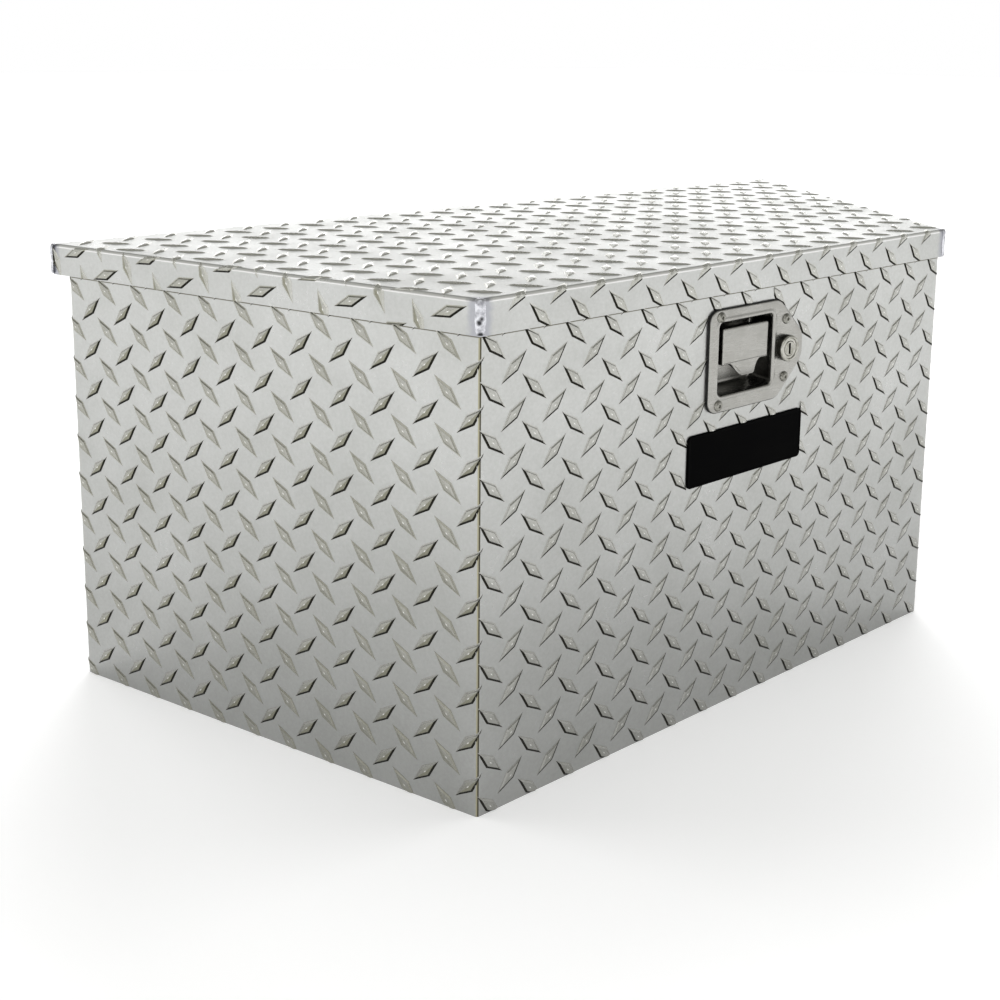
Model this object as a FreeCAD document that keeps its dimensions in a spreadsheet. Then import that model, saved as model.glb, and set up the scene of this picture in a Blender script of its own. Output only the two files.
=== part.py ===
import FreeCAD, Part
import math
import os
import Sketcher

# Trapezoid tool box for a trailer tongue: a wrapped tread-plate shell with a welded back and floor, a
# skirted lid on a full-length piano hinge, two gas struts and a flush paddle latch with a key lock.
#
# Row frame, millimetres: +Z up, +X along the latch face, -Y out of the latch face. The origin is the
# centre of the underside, midway between the front and the back wall.

SIZES = [
    # the shell
    ("front_width", 554.0), ("back_width", 906.0), ("body_depth", 378.0), ("total_height", 400.0),
    ("sheet", 2.0), ("bend_out", 4.0), ("bend_in", 2.0), ("back_flange", 25.0), ("lip_width", 22.0),
    ("lid_gap", 8.0), ("floor_flange", 22.0), ("mount_span_x", 400.0), ("mount_span_y", 200.0),
    ("mount_hole_r", 5.5),
    # the lid and its seal
    ("skirt_depth", 27.0), ("skirt_clear", 2.0), ("lid_bend", 3.0), ("seal_inset", 5.0),
    ("seal_width", 12.0), ("seal_clear", 0.3), ("stiff_place", 170.0), ("stiff_half_length", 150.0),
    ("stiff_crown", 30.0), ("stiff_foot", 12.0), ("stiff_rise", 12.0), ("stiff_sheet", 1.2),
    # the piano hinge
    ("hinge_drop", 18.0), ("hinge_off", 4.3), ("knuckle_r", 4.0), ("pin_r", 2.0), ("pin_bore_r", 2.05),
    ("leaf", 1.5), ("leaf_drop", 30.0), ("leaf_gap", 4.3), ("knuckle_pitch", 20.0), ("knuckle_slit", 0.2),
    ("hinge_half", 420.0), ("rivet_pitch", 100.0), ("rivet_half", 400.0), ("body_rivet_drop", 18.0),
    ("lid_rivet_rise", 10.2), ("rivet_r", 2.0), ("rivet_hole_r", 2.1), ("rivet_head_r", 4.4),
    ("rivet_head_rise", 2.0), ("rivet_tail_r", 3.0), ("rivet_tail", 1.2),
    # the latch plate and its cup
    ("plate_left", 46.0), ("plate_top_drop", 13.5), ("plate_half", 44.0), ("plate_sheet", 2.0),
    ("gasket", 1.0), ("plate_shoulder", 86.0), ("nose_start", 111.0), ("nose_half", 17.5),
    ("nose_r", 24.0), ("plate_corner_r", 10.0), ("cup_inset", 10.3), ("cup_width", 67.0),
    ("cup_top", 10.8), ("cup_height", 63.0), ("cup_depth", 25.0), ("cup_wall", 1.2), ("cup_corner_r", 5.0),
    ("latch_rivet_in", 12.0), ("latch_rivet_out", 94.5), ("latch_rivet_edge", 6.0),
    ("latch_rivet_low", 18.0), ("latch_rivet_head_r", 4.7), ("latch_rivet_rise", 2.2),
    # the paddle
    ("paddle_half", 28.0), ("paddle_sheet", 1.5), ("paddle_gap", 5.8), ("paddle_side", 31.7),
    ("tongue_root", 17.5), ("tongue_tip", 8.0), ("tongue_drop", 10.5), ("tongue_r", 12.0),
    ("lip_out", 3.0), ("pivot_back", 8.0), ("pivot_drop", 11.0), ("ear_back", 4.5), ("ear_low", 6.0),
    # the slam bolt
    ("bolt_drop", 14.0), ("neck_r", 2.5), ("collar_r", 5.0), ("collar_front", 17.0), ("collar_thick", 2.0),
    ("hook_gap", 0.5), ("hook_thick", 1.5), ("hook_reach", 9.0), ("hook_half", 3.0), ("nose_bolt_r", 6.0),
    ("nose_back", 43.0), ("nose_tip", 62.0), ("guide_back", 51.0), ("guide_sheet", 1.5),
    ("guide_half", 14.0), ("guide_foot", 24.0), ("guide_rise", 9.0), ("bolt_clear", 0.1),
    ("spring_r", 4.5), ("spring_wire", 0.5), ("spring_turns", 5.0), ("catch_back", 65.5),
    ("catch_half", 16.0), ("catch_window", 8.0), ("catch_foot", 28.0),
    # the key lock
    ("lock_place", 95.3), ("lock_head_r", 11.7), ("lock_face_r", 8.7), ("lock_proud", 5.4),
    ("lock_body_r", 9.0), ("lock_bore_r", 6.55), ("plug_r", 6.5), ("lock_back", 19.0), ("keyway_half", 1.3),
    ("keyway_tall", 4.75), ("keyway_deep", 8.0), ("stem_r", 3.95), ("cam_bore_r", 4.0), ("cam_r", 7.0),
    ("cam_reach", 26.0), ("cam_thick", 2.4), ("nut_r", 14.0), ("nut_thick", 4.0), ("small_nut_r", 6.5),
    # the blank label plate
    ("label_left", 66.0), ("label_right", 76.7), ("label_top_drop", 117.3), ("label_height", 45.4),
    ("label_thick", 1.6), ("label_corner_r", 5.0),
    # the gas struts
    ("strut_place", 330.0), ("strut_foot_in", 28.0), ("strut_foot_up", 140.0), ("strut_arm", 90.0),
    ("strut_arm_drop", 18.0), ("lid_swing", 80.0), ("tube_r", 9.0), ("tube_bore_r", 7.5),
    ("rod_r", 4.0), ("rod_bore_r", 4.08), ("piston_r", 7.4), ("socket_r", 7.5), ("socket_tail", 15.0),
    ("socket_bore_r", 3.4), ("ball_r", 4.5), ("ball_room", 4.58), ("stud_r", 2.6), ("bracket_out", 11.0),
    ("bracket_sheet", 2.5), ("bracket_half", 14.0), ("open_gap", 0.6), ("cap_gap", 32.0),
]

doc = FreeCAD.newDocument("trailer_tool_box")
sheet = doc.addObject("Spreadsheet::Sheet", "sizes")


class Dim:
    """A length: its number, and the sheet expression that it is bound to."""

    def __init__(self, value, text=None):
        self.value = float(value)
        self.text = text if text is not None else repr(float(value))

    def _join(self, other, sign, value):
        return Dim(value, "(%s %s %s)" % (self.text, sign, dim(other).text))

    def __add__(self, other):
        return self._join(other, "+", self.value + dim(other).value)

    def __sub__(self, other):
        return self._join(other, "-", self.value - dim(other).value)

    def __mul__(self, other):
        return self._join(other, "*", self.value * dim(other).value)

    def __truediv__(self, other):
        return self._join(other, "/", self.value / dim(other).value)

    def __neg__(self):
        return Dim(-self.value, "(0 - %s)" % self.text)


def dim(value):
    """A Dim from a Dim or a plain number."""
    return value if isinstance(value, Dim) else Dim(value)


def root(value):
    """The square root, with its expression."""
    return Dim(math.sqrt(value.value), "sqrt(%s)" % value.text)


class Sizes:
    """The driving dimensions: a cell of the sheet and a Dim for each name."""

    def __init__(self, rows):
        for number, (name, value) in enumerate(rows, start=1):
            cell = "A%d" % number
            sheet.set(cell, repr(value))
            sheet.setAlias(cell, name)
            setattr(self, name, Dim(value, "sizes." + name))
        doc.recompute()


S = Sizes(SIZES)

# places worked out from the driving dimensions
FRONT = -(S.body_depth / 2)
BACK = S.body_depth / 2
SLOPE = (S.back_width - S.front_width) / 2 / S.body_depth
STRETCH = root(SLOPE * SLOPE + 1)
LID_UNDER = S.total_height - S.sheet
BODY_TOP = LID_UNDER - S.lid_gap
SKIRT_LOW = S.total_height - S.skirt_depth
HINGE_Y = BACK + S.hinge_off
HINGE_Z = S.total_height - S.hinge_drop
SKIRT_IN = HINGE_Y + S.hinge_off
SKIRT_OUT = SKIRT_IN + S.sheet
PLATE_TOP = SKIRT_LOW - S.plate_top_drop
PLATE_MID = PLATE_TOP - S.plate_half
PLATE_FACE = FRONT - S.gasket - S.plate_sheet
CUP_LEFT = S.cup_inset - S.plate_left
CUP_RIGHT = CUP_LEFT + S.cup_width
CUP_X = CUP_LEFT + S.cup_width / 2
CUP_CEILING = PLATE_TOP - S.cup_top
CUP_SILL = CUP_CEILING - S.cup_height
CUP_BACK = PLATE_FACE + S.cup_depth
LOCK_X = S.lock_place - S.plate_left
PIVOT_Y = PLATE_FACE + S.pivot_back
PIVOT_Z = CUP_CEILING - S.pivot_drop
BOLT_Z = PIVOT_Z - S.bolt_drop


# ---------------------------------------------------------------- sketches and features

def half_at(place_y, inset):
    """Half the width of the box at a depth, set in from the outer face by a distance."""
    return S.front_width / 2 + (place_y + S.body_depth / 2) * SLOPE - dim(inset) * STRETCH


def trapezoid(near_y, far_y, inset):
    """The plan between two depths, with its slanted sides set in by a distance."""
    near = half_at(near_y, inset)
    far = half_at(far_y, inset)
    return [(-near, near_y), (near, near_y), (far, far_y), (-far, far_y)]


def rectangle(low_x, low_y, high_x, high_y):
    return [(low_x, low_y), (high_x, low_y), (high_x, high_y), (low_x, high_y)]


def rounded(low_x, low_y, high_x, high_y, radius):
    """A rectangle with round corners: a third value is the radius of the arc that leaves a corner."""
    return [(low_x + radius, low_y), (high_x - radius, low_y, radius), (high_x, low_y + radius),
            (high_x, high_y - radius, radius), (high_x - radius, high_y),
            (low_x + radius, high_y, radius), (low_x, high_y - radius), (low_x, low_y + radius, radius)]


def hexagon(centre_x, centre_y, radius):
    """A nut's outline, with its corners at the given radius."""
    corners = []
    for step in range(6):
        turn = math.radians(60 * step)
        corners.append((centre_x + radius * math.cos(turn), centre_y + radius * math.sin(turn)))
    return corners


def circle(centre_x, centre_y, radius):
    return ("circle", dim(centre_x), dim(centre_y), dim(radius))


def vector(across, up):
    return FreeCAD.Vector(dim(across).value, dim(up).value, 0)


def bind(sketch, index, name, size):
    """Name one constraint and tie it to the sheet."""
    sketch.renameConstraint(index, name)
    sketch.setExpression("Constraints." + name, size.text)


def place_point(sketch, geometry, end, across, up, name):
    """Hold one point of a sketch at its place, each way bound to the sheet."""
    for kind, axis, size in (("DistanceX", -2, dim(across)), ("DistanceY", -1, dim(up))):
        if abs(size.value) < 1e-9:
            sketch.addConstraint(Sketcher.Constraint("PointOnObject", geometry, end, axis))
            continue
        index = sketch.addConstraint(Sketcher.Constraint(kind, -1, 1, geometry, end, size.value))
        bind(sketch, index, name + kind[-1], size)


def arc_between(start, end, radius):
    """The shorter arc from start to end; it turns anticlockwise where the radius is positive."""
    chord = end - start
    middle = start + chord * 0.5
    rise = math.sqrt(max(radius ** 2 - (chord.Length / 2) ** 2, 0.0))
    side = FreeCAD.Vector(-chord.y, chord.x, 0).normalize()
    centre = middle + side * (rise if radius > 0 else -rise)
    first, last = (start, end) if radius > 0 else (end, start)
    angles = [math.atan2(point.y - centre.y, point.x - centre.x) for point in (first, last)]
    if angles[1] <= angles[0]:
        angles[1] += 2 * math.pi
    ring = Part.Circle(centre, FreeCAD.Vector(0, 0, 1), abs(radius))
    return Part.ArcOfCircle(ring, angles[0], angles[1])


def draw(sketch, outline, prefix):
    """Add one closed outline, or one circle, to a sketch."""
    if outline[0] == "circle":
        _, centre_x, centre_y, radius = outline
        ring = Part.Circle(vector(centre_x, centre_y), FreeCAD.Vector(0, 0, 1), radius.value)
        index = sketch.addGeometry(ring)
        place_point(sketch, index, 3, centre_x, centre_y, prefix + "c")
        bind(sketch, sketch.addConstraint(Sketcher.Constraint("Radius", index, radius.value)),
             prefix + "r", radius)
        return
    ends = []
    count = len(outline)
    for number, corner in enumerate(outline):
        start = vector(corner[0], corner[1])
        following = outline[(number + 1) % count]
        end = vector(following[0], following[1])
        if len(corner) == 3:
            radius = dim(corner[2])
            index = sketch.addGeometry(arc_between(start, end, radius.value))
            size = radius if radius.value > 0 else -radius
            bind(sketch, sketch.addConstraint(Sketcher.Constraint("Radius", index, size.value)),
                 "%sr%d" % (prefix, number), size)
            ends.append((index, 1, 2) if radius.value > 0 else (index, 2, 1))
        else:
            index = sketch.addGeometry(Part.LineSegment(start, end))
            ends.append((index, 1, 2))
    for number in range(count):
        index, first, last = ends[number]
        after = ends[(number + 1) % count]
        sketch.addConstraint(Sketcher.Constraint("Coincident", index, last, after[0], after[1]))
        place_point(sketch, index, first, outline[number][0], outline[number][1],
                    "%sp%d" % (prefix, number))


def new_body(name):
    body = doc.addObject("PartDesign::Body", name)
    body.Label = name
    return body


def new_sketch(body, name, plane, outlines, lift, shift=None):
    """A sketch on one of the body's own origin planes, lifted along the plane's normal."""
    sketch = body.newObject("Sketcher::SketchObject", name)
    origin_plane = next(item for item in body.Origin.OriginFeatures if item.Role == plane)
    sketch.AttachmentSupport = (origin_plane, [""])
    sketch.MapMode = "FlatFace"
    sketch.setExpression(".AttachmentOffset.Base.z", dim(lift).text)
    if shift is not None:
        sketch.setExpression(".AttachmentOffset.Base.x", dim(shift).text)
    for number, outline in enumerate(outlines):
        draw(sketch, outline, "o%d" % number)
    return sketch


def add(body, name, plane, low, high, *outlines):
    """Pad outlines between two places along the axis that the plane lacks."""
    lift = -dim(high) if plane == "XZ_Plane" else low
    sketch = new_sketch(body, name + "_sketch", plane, outlines, lift)
    feature = body.newObject("PartDesign::Pad", name)
    feature.Profile = sketch
    feature.setExpression("Length", (dim(high) - low).text)
    doc.recompute()
    return feature


def remove(body, name, plane, low, high, *outlines):
    """Pocket outlines between two places, and check that material has gone."""
    lift = -dim(low) if plane == "XZ_Plane" else high
    before = body.Shape.Volume
    sketch = new_sketch(body, name + "_sketch", plane, outlines, lift)
    feature = body.newObject("PartDesign::Pocket", name)
    feature.Profile = sketch
    feature.setExpression("Length", (dim(high) - low).text)
    doc.recompute()
    if body.Shape.Volume >= before:
        raise ValueError("%s of %s removes nothing" % (name, body.Label))
    return feature


def repeat(body, feature, name, plane_sketch, pitch, count):
    """A row of one feature along the sketch's horizontal axis."""
    pattern = body.newObject("PartDesign::LinearPattern", name)
    pattern.Originals = [feature]
    pattern.Direction = (plane_sketch, ["H_Axis"])
    pattern.setExpression("Length", (dim(pitch) * (count - 1)).text)
    pattern.Occurrences = count
    body.Tip = pattern
    doc.recompute()
    return pattern


def soften(body, name, radius, picks):
    """Round the edges of the body that the test picks."""
    last = body.Tip
    names = ["Edge%d" % number for number, edge in enumerate(last.Shape.Edges, start=1) if picks(edge)]
    if not names:
        raise ValueError("%s of %s finds no edge" % (name, body.Label))
    feature = body.newObject("PartDesign::Fillet", name)
    feature.Base = (last, names)
    feature.setExpression("Radius", radius.text)
    doc.recompute()
    return feature


def upright(edge):
    """Whether an edge runs straight up."""
    ends = [vertex.Point for vertex in edge.Vertexes]
    return len(ends) == 2 and abs(ends[0].x - ends[1].x) < 1e-6 and abs(ends[0].y - ends[1].y) < 1e-6


def upright_at(*places):
    """A test for upright edges that pass through any of the plan places."""
    def picks(edge):
        if not upright(edge):
            return False
        point = edge.Vertexes[0].Point
        return any(abs(point.x - dim(across).value) < 0.01 and abs(point.y - dim(depth).value) < 0.01
                   for across, depth in places)
    return picks


def turned(name, profile, places=((0, 0),)):
    """A body turned about local Z, repeated at local X, Y places; profile is (radius, height)."""
    body = new_body(name)
    for number, (across, depth) in enumerate(places):
        sketch = new_sketch(body, "%s_turn_%d" % (name, number), "XZ_Plane", [profile],
                            -dim(depth), across)
        feature = body.newObject("PartDesign::Revolution", "%s_round_%d" % (name, number))
        feature.Profile = sketch
        feature.ReferenceAxis = (sketch, ["V_Axis"])
        feature.Angle = 360
        doc.recompute()
    return body


def stand(item, across, depth, up, axis=None, turn=0.0):
    """Set an object's placement: its place bound to the sheet, and a turn about one axis."""
    spin = FreeCAD.Rotation(axis or FreeCAD.Vector(0, 0, 1), turn)
    item.Placement = FreeCAD.Placement(FreeCAD.Vector(0, 0, 0), spin)
    item.setExpression(".Placement.Base.x", dim(across).text)
    item.setExpression(".Placement.Base.y", dim(depth).text)
    item.setExpression(".Placement.Base.z", dim(up).text)
    doc.recompute()


ALONG_X = FreeCAD.Vector(1, 0, 0)
OUT_FRONT = (ALONG_X, 90.0)
OUT_BACK = (ALONG_X, -90.0)


def rivet_profile(head_r, head_rise, grip):
    """A blind rivet from its domed head, above zero, down through its grip to the set tail."""
    crown = (head_r * head_r + dim(head_rise) * head_rise) / (dim(head_rise) * 2)
    shank = S.rivet_r
    return [(0, -(dim(grip) + S.rivet_tail)), (S.rivet_tail_r, -(dim(grip) + S.rivet_tail)),
            (S.rivet_tail_r, -dim(grip)), (shank, -dim(grip)), (shank, 0), (head_r, 0, crown),
            (0, head_rise)]


# ---------------------------------------------------------------- the shell

def latch_rivet_places():
    """The four places of the latch rivets, as X and Z in the row frame."""
    inner = S.latch_rivet_in - S.plate_left
    outer = S.latch_rivet_out - S.plate_left
    tall = S.plate_half - S.latch_rivet_edge
    short = S.plate_half - S.latch_rivet_low
    return [(inner, PLATE_MID - tall), (inner, PLATE_MID + tall),
            (outer, PLATE_MID - short), (outer, PLATE_MID + short)]


def box_wrap():
    """The front and both slanted sides in one bent sheet, flanged at the back and lipped at the top."""
    body = new_body("box_wrap")
    inner_back = BACK - S.sheet
    inner_front = FRONT + S.sheet
    flange_end = S.back_width / 2 - S.back_flange
    outer = [(-flange_end, BACK), (-half_at(BACK, 0), BACK), (-half_at(FRONT, 0), FRONT),
             (half_at(FRONT, 0), FRONT), (half_at(BACK, 0), BACK), (flange_end, BACK)]
    inner = [(flange_end, inner_back), (half_at(inner_back, S.sheet), inner_back),
             (half_at(inner_front, S.sheet), inner_front), (-half_at(inner_front, S.sheet), inner_front),
             (-half_at(inner_back, S.sheet), inner_back), (-flange_end, inner_back)]
    add(body, "walls", "XY_Plane", dim(0), BODY_TOP, outer + inner)
    soften(body, "outer_bends", S.bend_out, upright_at(*outer[1:5]))
    soften(body, "inner_bends", S.bend_in, upright_at(*inner[1:5]))
    lip_end = BACK - S.lip_width
    seam = S.sheet / 2
    lip = [(-half_at(lip_end, seam), lip_end), (-half_at(FRONT + seam, seam), FRONT + seam),
           (half_at(FRONT + seam, seam), FRONT + seam), (half_at(lip_end, seam), lip_end),
           (half_at(lip_end, S.lip_width), lip_end),
           (half_at(FRONT + S.lip_width, S.lip_width), FRONT + S.lip_width),
           (-half_at(FRONT + S.lip_width, S.lip_width), FRONT + S.lip_width),
           (-half_at(lip_end, S.lip_width), lip_end)]
    add(body, "top_lip", "XY_Plane", BODY_TOP - S.sheet, BODY_TOP, lip)
    clear = S.cup_wall + 0.4
    cut = rounded(CUP_LEFT - clear, CUP_SILL - clear, CUP_RIGHT + clear, CUP_CEILING + clear,
                  S.cup_corner_r + clear)
    holes = [circle(across, up, S.rivet_hole_r) for across, up in latch_rivet_places()]
    remove(body, "latch_holes", "XZ_Plane", FRONT - 1, FRONT + S.sheet + 1, cut,
           circle(LOCK_X, PLATE_MID, S.lock_body_r + 0.2), *holes)
    return body


def hinge_rivet_holes(up):
    """The row of holes that the hinge rivets fill."""
    count = round(2 * S.rivet_half.value / S.rivet_pitch.value) + 1
    return [circle(S.rivet_pitch * step - S.rivet_half, up, S.rivet_hole_r) for step in range(count)]


def back_panel():
    """The back wall between the wrap's two flanges, with its own lip."""
    body = new_body("back_panel")
    edge = S.back_width / 2 - S.back_flange
    add(body, "wall", "XY_Plane", dim(0), BODY_TOP, rectangle(-edge, BACK - S.sheet, edge, BACK))
    lip_front = BACK - S.lip_width
    lip_back = BACK - S.sheet / 2
    reach = half_at(lip_front, S.sheet)
    add(body, "top_lip", "XY_Plane", BODY_TOP - S.sheet, BODY_TOP,
        [(-reach, lip_front), (reach, lip_front), (edge, BACK - S.sheet), (edge, lip_back),
         (-edge, lip_back), (-edge, BACK - S.sheet)])
    remove(body, "rivet_holes", "XZ_Plane", BACK - S.sheet - 1, BACK + 1,
           *hinge_rivet_holes(HINGE_Z - S.body_rivet_drop))
    return body


def floor_pan():
    """The floor, a shallow tray inside the walls, with four holes for the mounting bolts."""
    body = new_body("floor_pan")
    outer = trapezoid(FRONT + S.sheet, BACK - S.sheet, S.sheet)
    add(body, "tray", "XY_Plane", dim(0), S.floor_flange, outer)
    soften(body, "tray_corners", S.bend_in, upright_at(*outer))
    wall = S.sheet * 2
    inner = trapezoid(FRONT + wall, BACK - wall, wall)
    remove(body, "hollow", "XY_Plane", S.sheet, S.floor_flange, inner)
    holes = []
    for side in (-1, 1):
        for end in (-1, 1):
            holes.append(circle(S.mount_span_x / 2 * side, S.mount_span_y / 2 * end, S.mount_hole_r))
    remove(body, "mount_holes", "XY_Plane", dim(-1), S.sheet + 1, *holes)
    return body


def lid_seal():
    """The rubber seal on the lips, all the way round the opening."""
    body = new_body("lid_seal")
    near = S.seal_inset
    far = S.seal_inset + S.seal_width
    add(body, "ring", "XY_Plane", BODY_TOP, LID_UNDER - S.seal_clear,
        trapezoid(FRONT + near, BACK - near, near), trapezoid(FRONT + far, BACK - far, far))
    top = (LID_UNDER - S.seal_clear).value
    soften(body, "crown", Dim(3.0), lambda edge: edge.BoundBox.ZMin > top - 0.01)
    return body


def label_plate():
    """A blank label plate on the front wall."""
    body = new_body("label_plate")
    top = SKIRT_LOW - S.label_top_drop
    add(body, "blank", "XZ_Plane", FRONT - S.label_thick, FRONT,
        rounded(-S.label_left, top - S.label_height, S.label_right, top, S.label_corner_r))
    return body


# ---------------------------------------------------------------- the lid

def lid_panel():
    """The lid: one folded and corner-welded sheet, its back skirt cut short above the hinge."""
    body = new_body("lid_panel")
    outset = S.skirt_clear + S.sheet
    outer = trapezoid(FRONT - outset, SKIRT_OUT, -outset)
    add(body, "block", "XY_Plane", SKIRT_LOW, S.total_height, outer)
    soften(body, "corners", S.bend_in, upright_at(*outer))
    top = S.total_height.value
    soften(body, "top_bends", S.lid_bend, lambda edge: edge.BoundBox.ZMin > top - 0.01)
    remove(body, "hollow", "XY_Plane", SKIRT_LOW, LID_UNDER,
           trapezoid(FRONT - S.skirt_clear, SKIRT_IN, -S.skirt_clear))
    reach = half_at(SKIRT_IN, -S.skirt_clear) - 0.5
    remove(body, "hinge_relief", "XZ_Plane", SKIRT_IN - 1, SKIRT_OUT + 1,
           rectangle(-reach, SKIRT_LOW - 1, reach, HINGE_Z + S.leaf_gap))
    remove(body, "rivet_holes", "XZ_Plane", SKIRT_IN - 1, SKIRT_OUT + 1,
           *hinge_rivet_holes(HINGE_Z + S.lid_rivet_rise))
    return body


def lid_stiffener(side, name):
    """A hat-section channel bonded under the lid, from front to back."""
    body = new_body(name)
    middle = S.stiff_place * side
    crown = S.stiff_crown / 2
    foot = crown + S.stiff_foot
    thick = S.stiff_sheet
    low = LID_UNDER - S.stiff_rise
    profile = [(middle - foot, LID_UNDER), (middle - foot, LID_UNDER - thick),
               (middle - crown, LID_UNDER - thick), (middle - crown, low), (middle + crown, low),
               (middle + crown, LID_UNDER - thick), (middle + foot, LID_UNDER - thick),
               (middle + foot, LID_UNDER), (middle + crown - thick, LID_UNDER),
               (middle + crown - thick, low + thick), (middle - crown + thick, low + thick),
               (middle - crown + thick, LID_UNDER)]
    add(body, "channel", "XZ_Plane", -S.stiff_half_length, S.stiff_half_length, profile)
    return body


def latch_catch():
    """The catch that hangs from the lid, with the window that the bolt's nose enters."""
    body = new_body("latch_catch")
    near = FRONT + S.catch_back
    low = BOLT_Z - S.catch_half
    profile = [(near, low), (near + S.sheet, low), (near + S.sheet, LID_UNDER - S.sheet),
               (near + S.catch_foot, LID_UNDER - S.sheet), (near + S.catch_foot, LID_UNDER),
               (near, LID_UNDER)]
    add(body, "strap", "YZ_Plane", CUP_X - S.catch_half, CUP_X + S.catch_half, profile)
    remove(body, "window", "XZ_Plane", near - 1, near + S.sheet + 1,
           rectangle(CUP_X - S.catch_window, BOLT_Z - S.catch_window,
                     CUP_X + S.catch_window, BOLT_Z + S.catch_window))
    return body


# ---------------------------------------------------------------- the piano hinge

def hinge_leaf(name, upper):
    """One leaf with its alternate knuckles; the upper leaf is the lid's."""
    body = new_body(name)
    way = 1 if upper else -1
    face = SKIRT_IN if upper else BACK
    inside = face - S.leaf * way
    offset = S.hinge_off - S.leaf
    tangent = root(S.knuckle_r * S.knuckle_r - offset * offset)
    link_end = HINGE_Z + (S.leaf_gap + 1) * way
    left_end = -S.hinge_half + (S.knuckle_pitch if upper else 0)
    right_end = left_end + S.knuckle_pitch - S.knuckle_slit
    if upper:
        knuckle = [(face, HINGE_Z + 1), (face, link_end), (inside, link_end),
                   (inside, HINGE_Z + tangent, S.knuckle_r), (HINGE_Y - S.knuckle_r, HINGE_Z, S.knuckle_r),
                   (HINGE_Y, HINGE_Z - S.knuckle_r, S.knuckle_r), (HINGE_Y + S.knuckle_r, HINGE_Z)]
        strip = rectangle(inside, HINGE_Z + S.leaf_gap, face, LID_UNDER - S.seal_clear)
    else:
        knuckle = [(face, HINGE_Z - 1), (face, link_end), (inside, link_end),
                   (inside, HINGE_Z - tangent, S.knuckle_r), (HINGE_Y + S.knuckle_r, HINGE_Z, S.knuckle_r),
                   (HINGE_Y, HINGE_Z + S.knuckle_r, S.knuckle_r), (HINGE_Y - S.knuckle_r, HINGE_Z)]
        strip = rectangle(face, HINGE_Z - S.leaf_drop, inside, HINGE_Z - S.leaf_gap)
    add(body, "strip", "YZ_Plane", -S.hinge_half, S.hinge_half, strip)
    first = add(body, "knuckle", "YZ_Plane", left_end, right_end, knuckle,
                circle(HINGE_Y, HINGE_Z, S.pin_bore_r))
    total = round(2 * S.hinge_half.value / S.knuckle_pitch.value)
    count = total // 2 if upper else total - total // 2
    pattern = body.newObject("PartDesign::LinearPattern", "knuckles")
    pattern.Originals = [first]
    x_axis = next(item for item in body.Origin.OriginFeatures if item.Role == "X_Axis")
    pattern.Direction = (x_axis, [""])
    pattern.setExpression("Length", (S.knuckle_pitch * (2 * (count - 1))).text)
    pattern.Occurrences = count
    body.Tip = pattern
    doc.recompute()
    rise = HINGE_Z + S.lid_rivet_rise if upper else HINGE_Z - S.body_rivet_drop
    near = inside if upper else face
    far = face if upper else inside
    remove(body, "rivet_holes", "XZ_Plane", near - 1, far + 1, *hinge_rivet_holes(rise))
    return body


def hinge_pin():
    """The hinge pin, a plain rod through every knuckle."""
    pin = doc.addObject("Part::Cylinder", "hinge_pin")
    pin.Label = "hinge_pin"
    pin.setExpression("Radius", S.pin_r.text)
    pin.setExpression("Height", (S.hinge_half * 2).text)
    stand(pin, -S.hinge_half, HINGE_Y, HINGE_Z, FreeCAD.Vector(0, 1, 0), 90.0)
    return pin


def hinge_rivets(name, upper):
    """One row of hinge rivets, heads outward at the back."""
    body = new_body(name)
    grip = S.leaf + S.sheet
    profile = rivet_profile(S.rivet_head_r, S.rivet_head_rise, grip)
    sketch = new_sketch(body, name + "_turn", "XZ_Plane", [profile], 0, -S.rivet_half)
    one = body.newObject("PartDesign::Revolution", name + "_round")
    one.Profile = sketch
    one.ReferenceAxis = (sketch, ["V_Axis"])
    one.Angle = 360
    doc.recompute()
    count = round(2 * S.rivet_half.value / S.rivet_pitch.value) + 1
    repeat(body, one, name + "_row", sketch, S.rivet_pitch, count)
    place_y = SKIRT_OUT if upper else BACK + S.leaf
    rise = HINGE_Z + S.lid_rivet_rise if upper else HINGE_Z - S.body_rivet_drop
    stand(body, 0, place_y, rise, *OUT_BACK)
    return body


# ---------------------------------------------------------------- the paddle latch

def plate_outline(inset):
    """The latch plate's outline, square at the cup and narrowing to a round nose at the lock."""
    left = inset - S.plate_left
    low = PLATE_MID - S.plate_half + inset
    high = PLATE_MID + S.plate_half - inset
    corner = S.plate_corner_r - inset
    shoulder = S.plate_shoulder - S.plate_left
    nose = S.nose_start - S.plate_left - inset
    return [(left + corner, low), (shoulder, low), (nose, PLATE_MID - S.nose_half, S.nose_r - inset),
            (nose, PLATE_MID + S.nose_half), (shoulder, high), (left + corner, high, corner),
            (left, high - corner), (left, low + corner, corner)]


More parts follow.
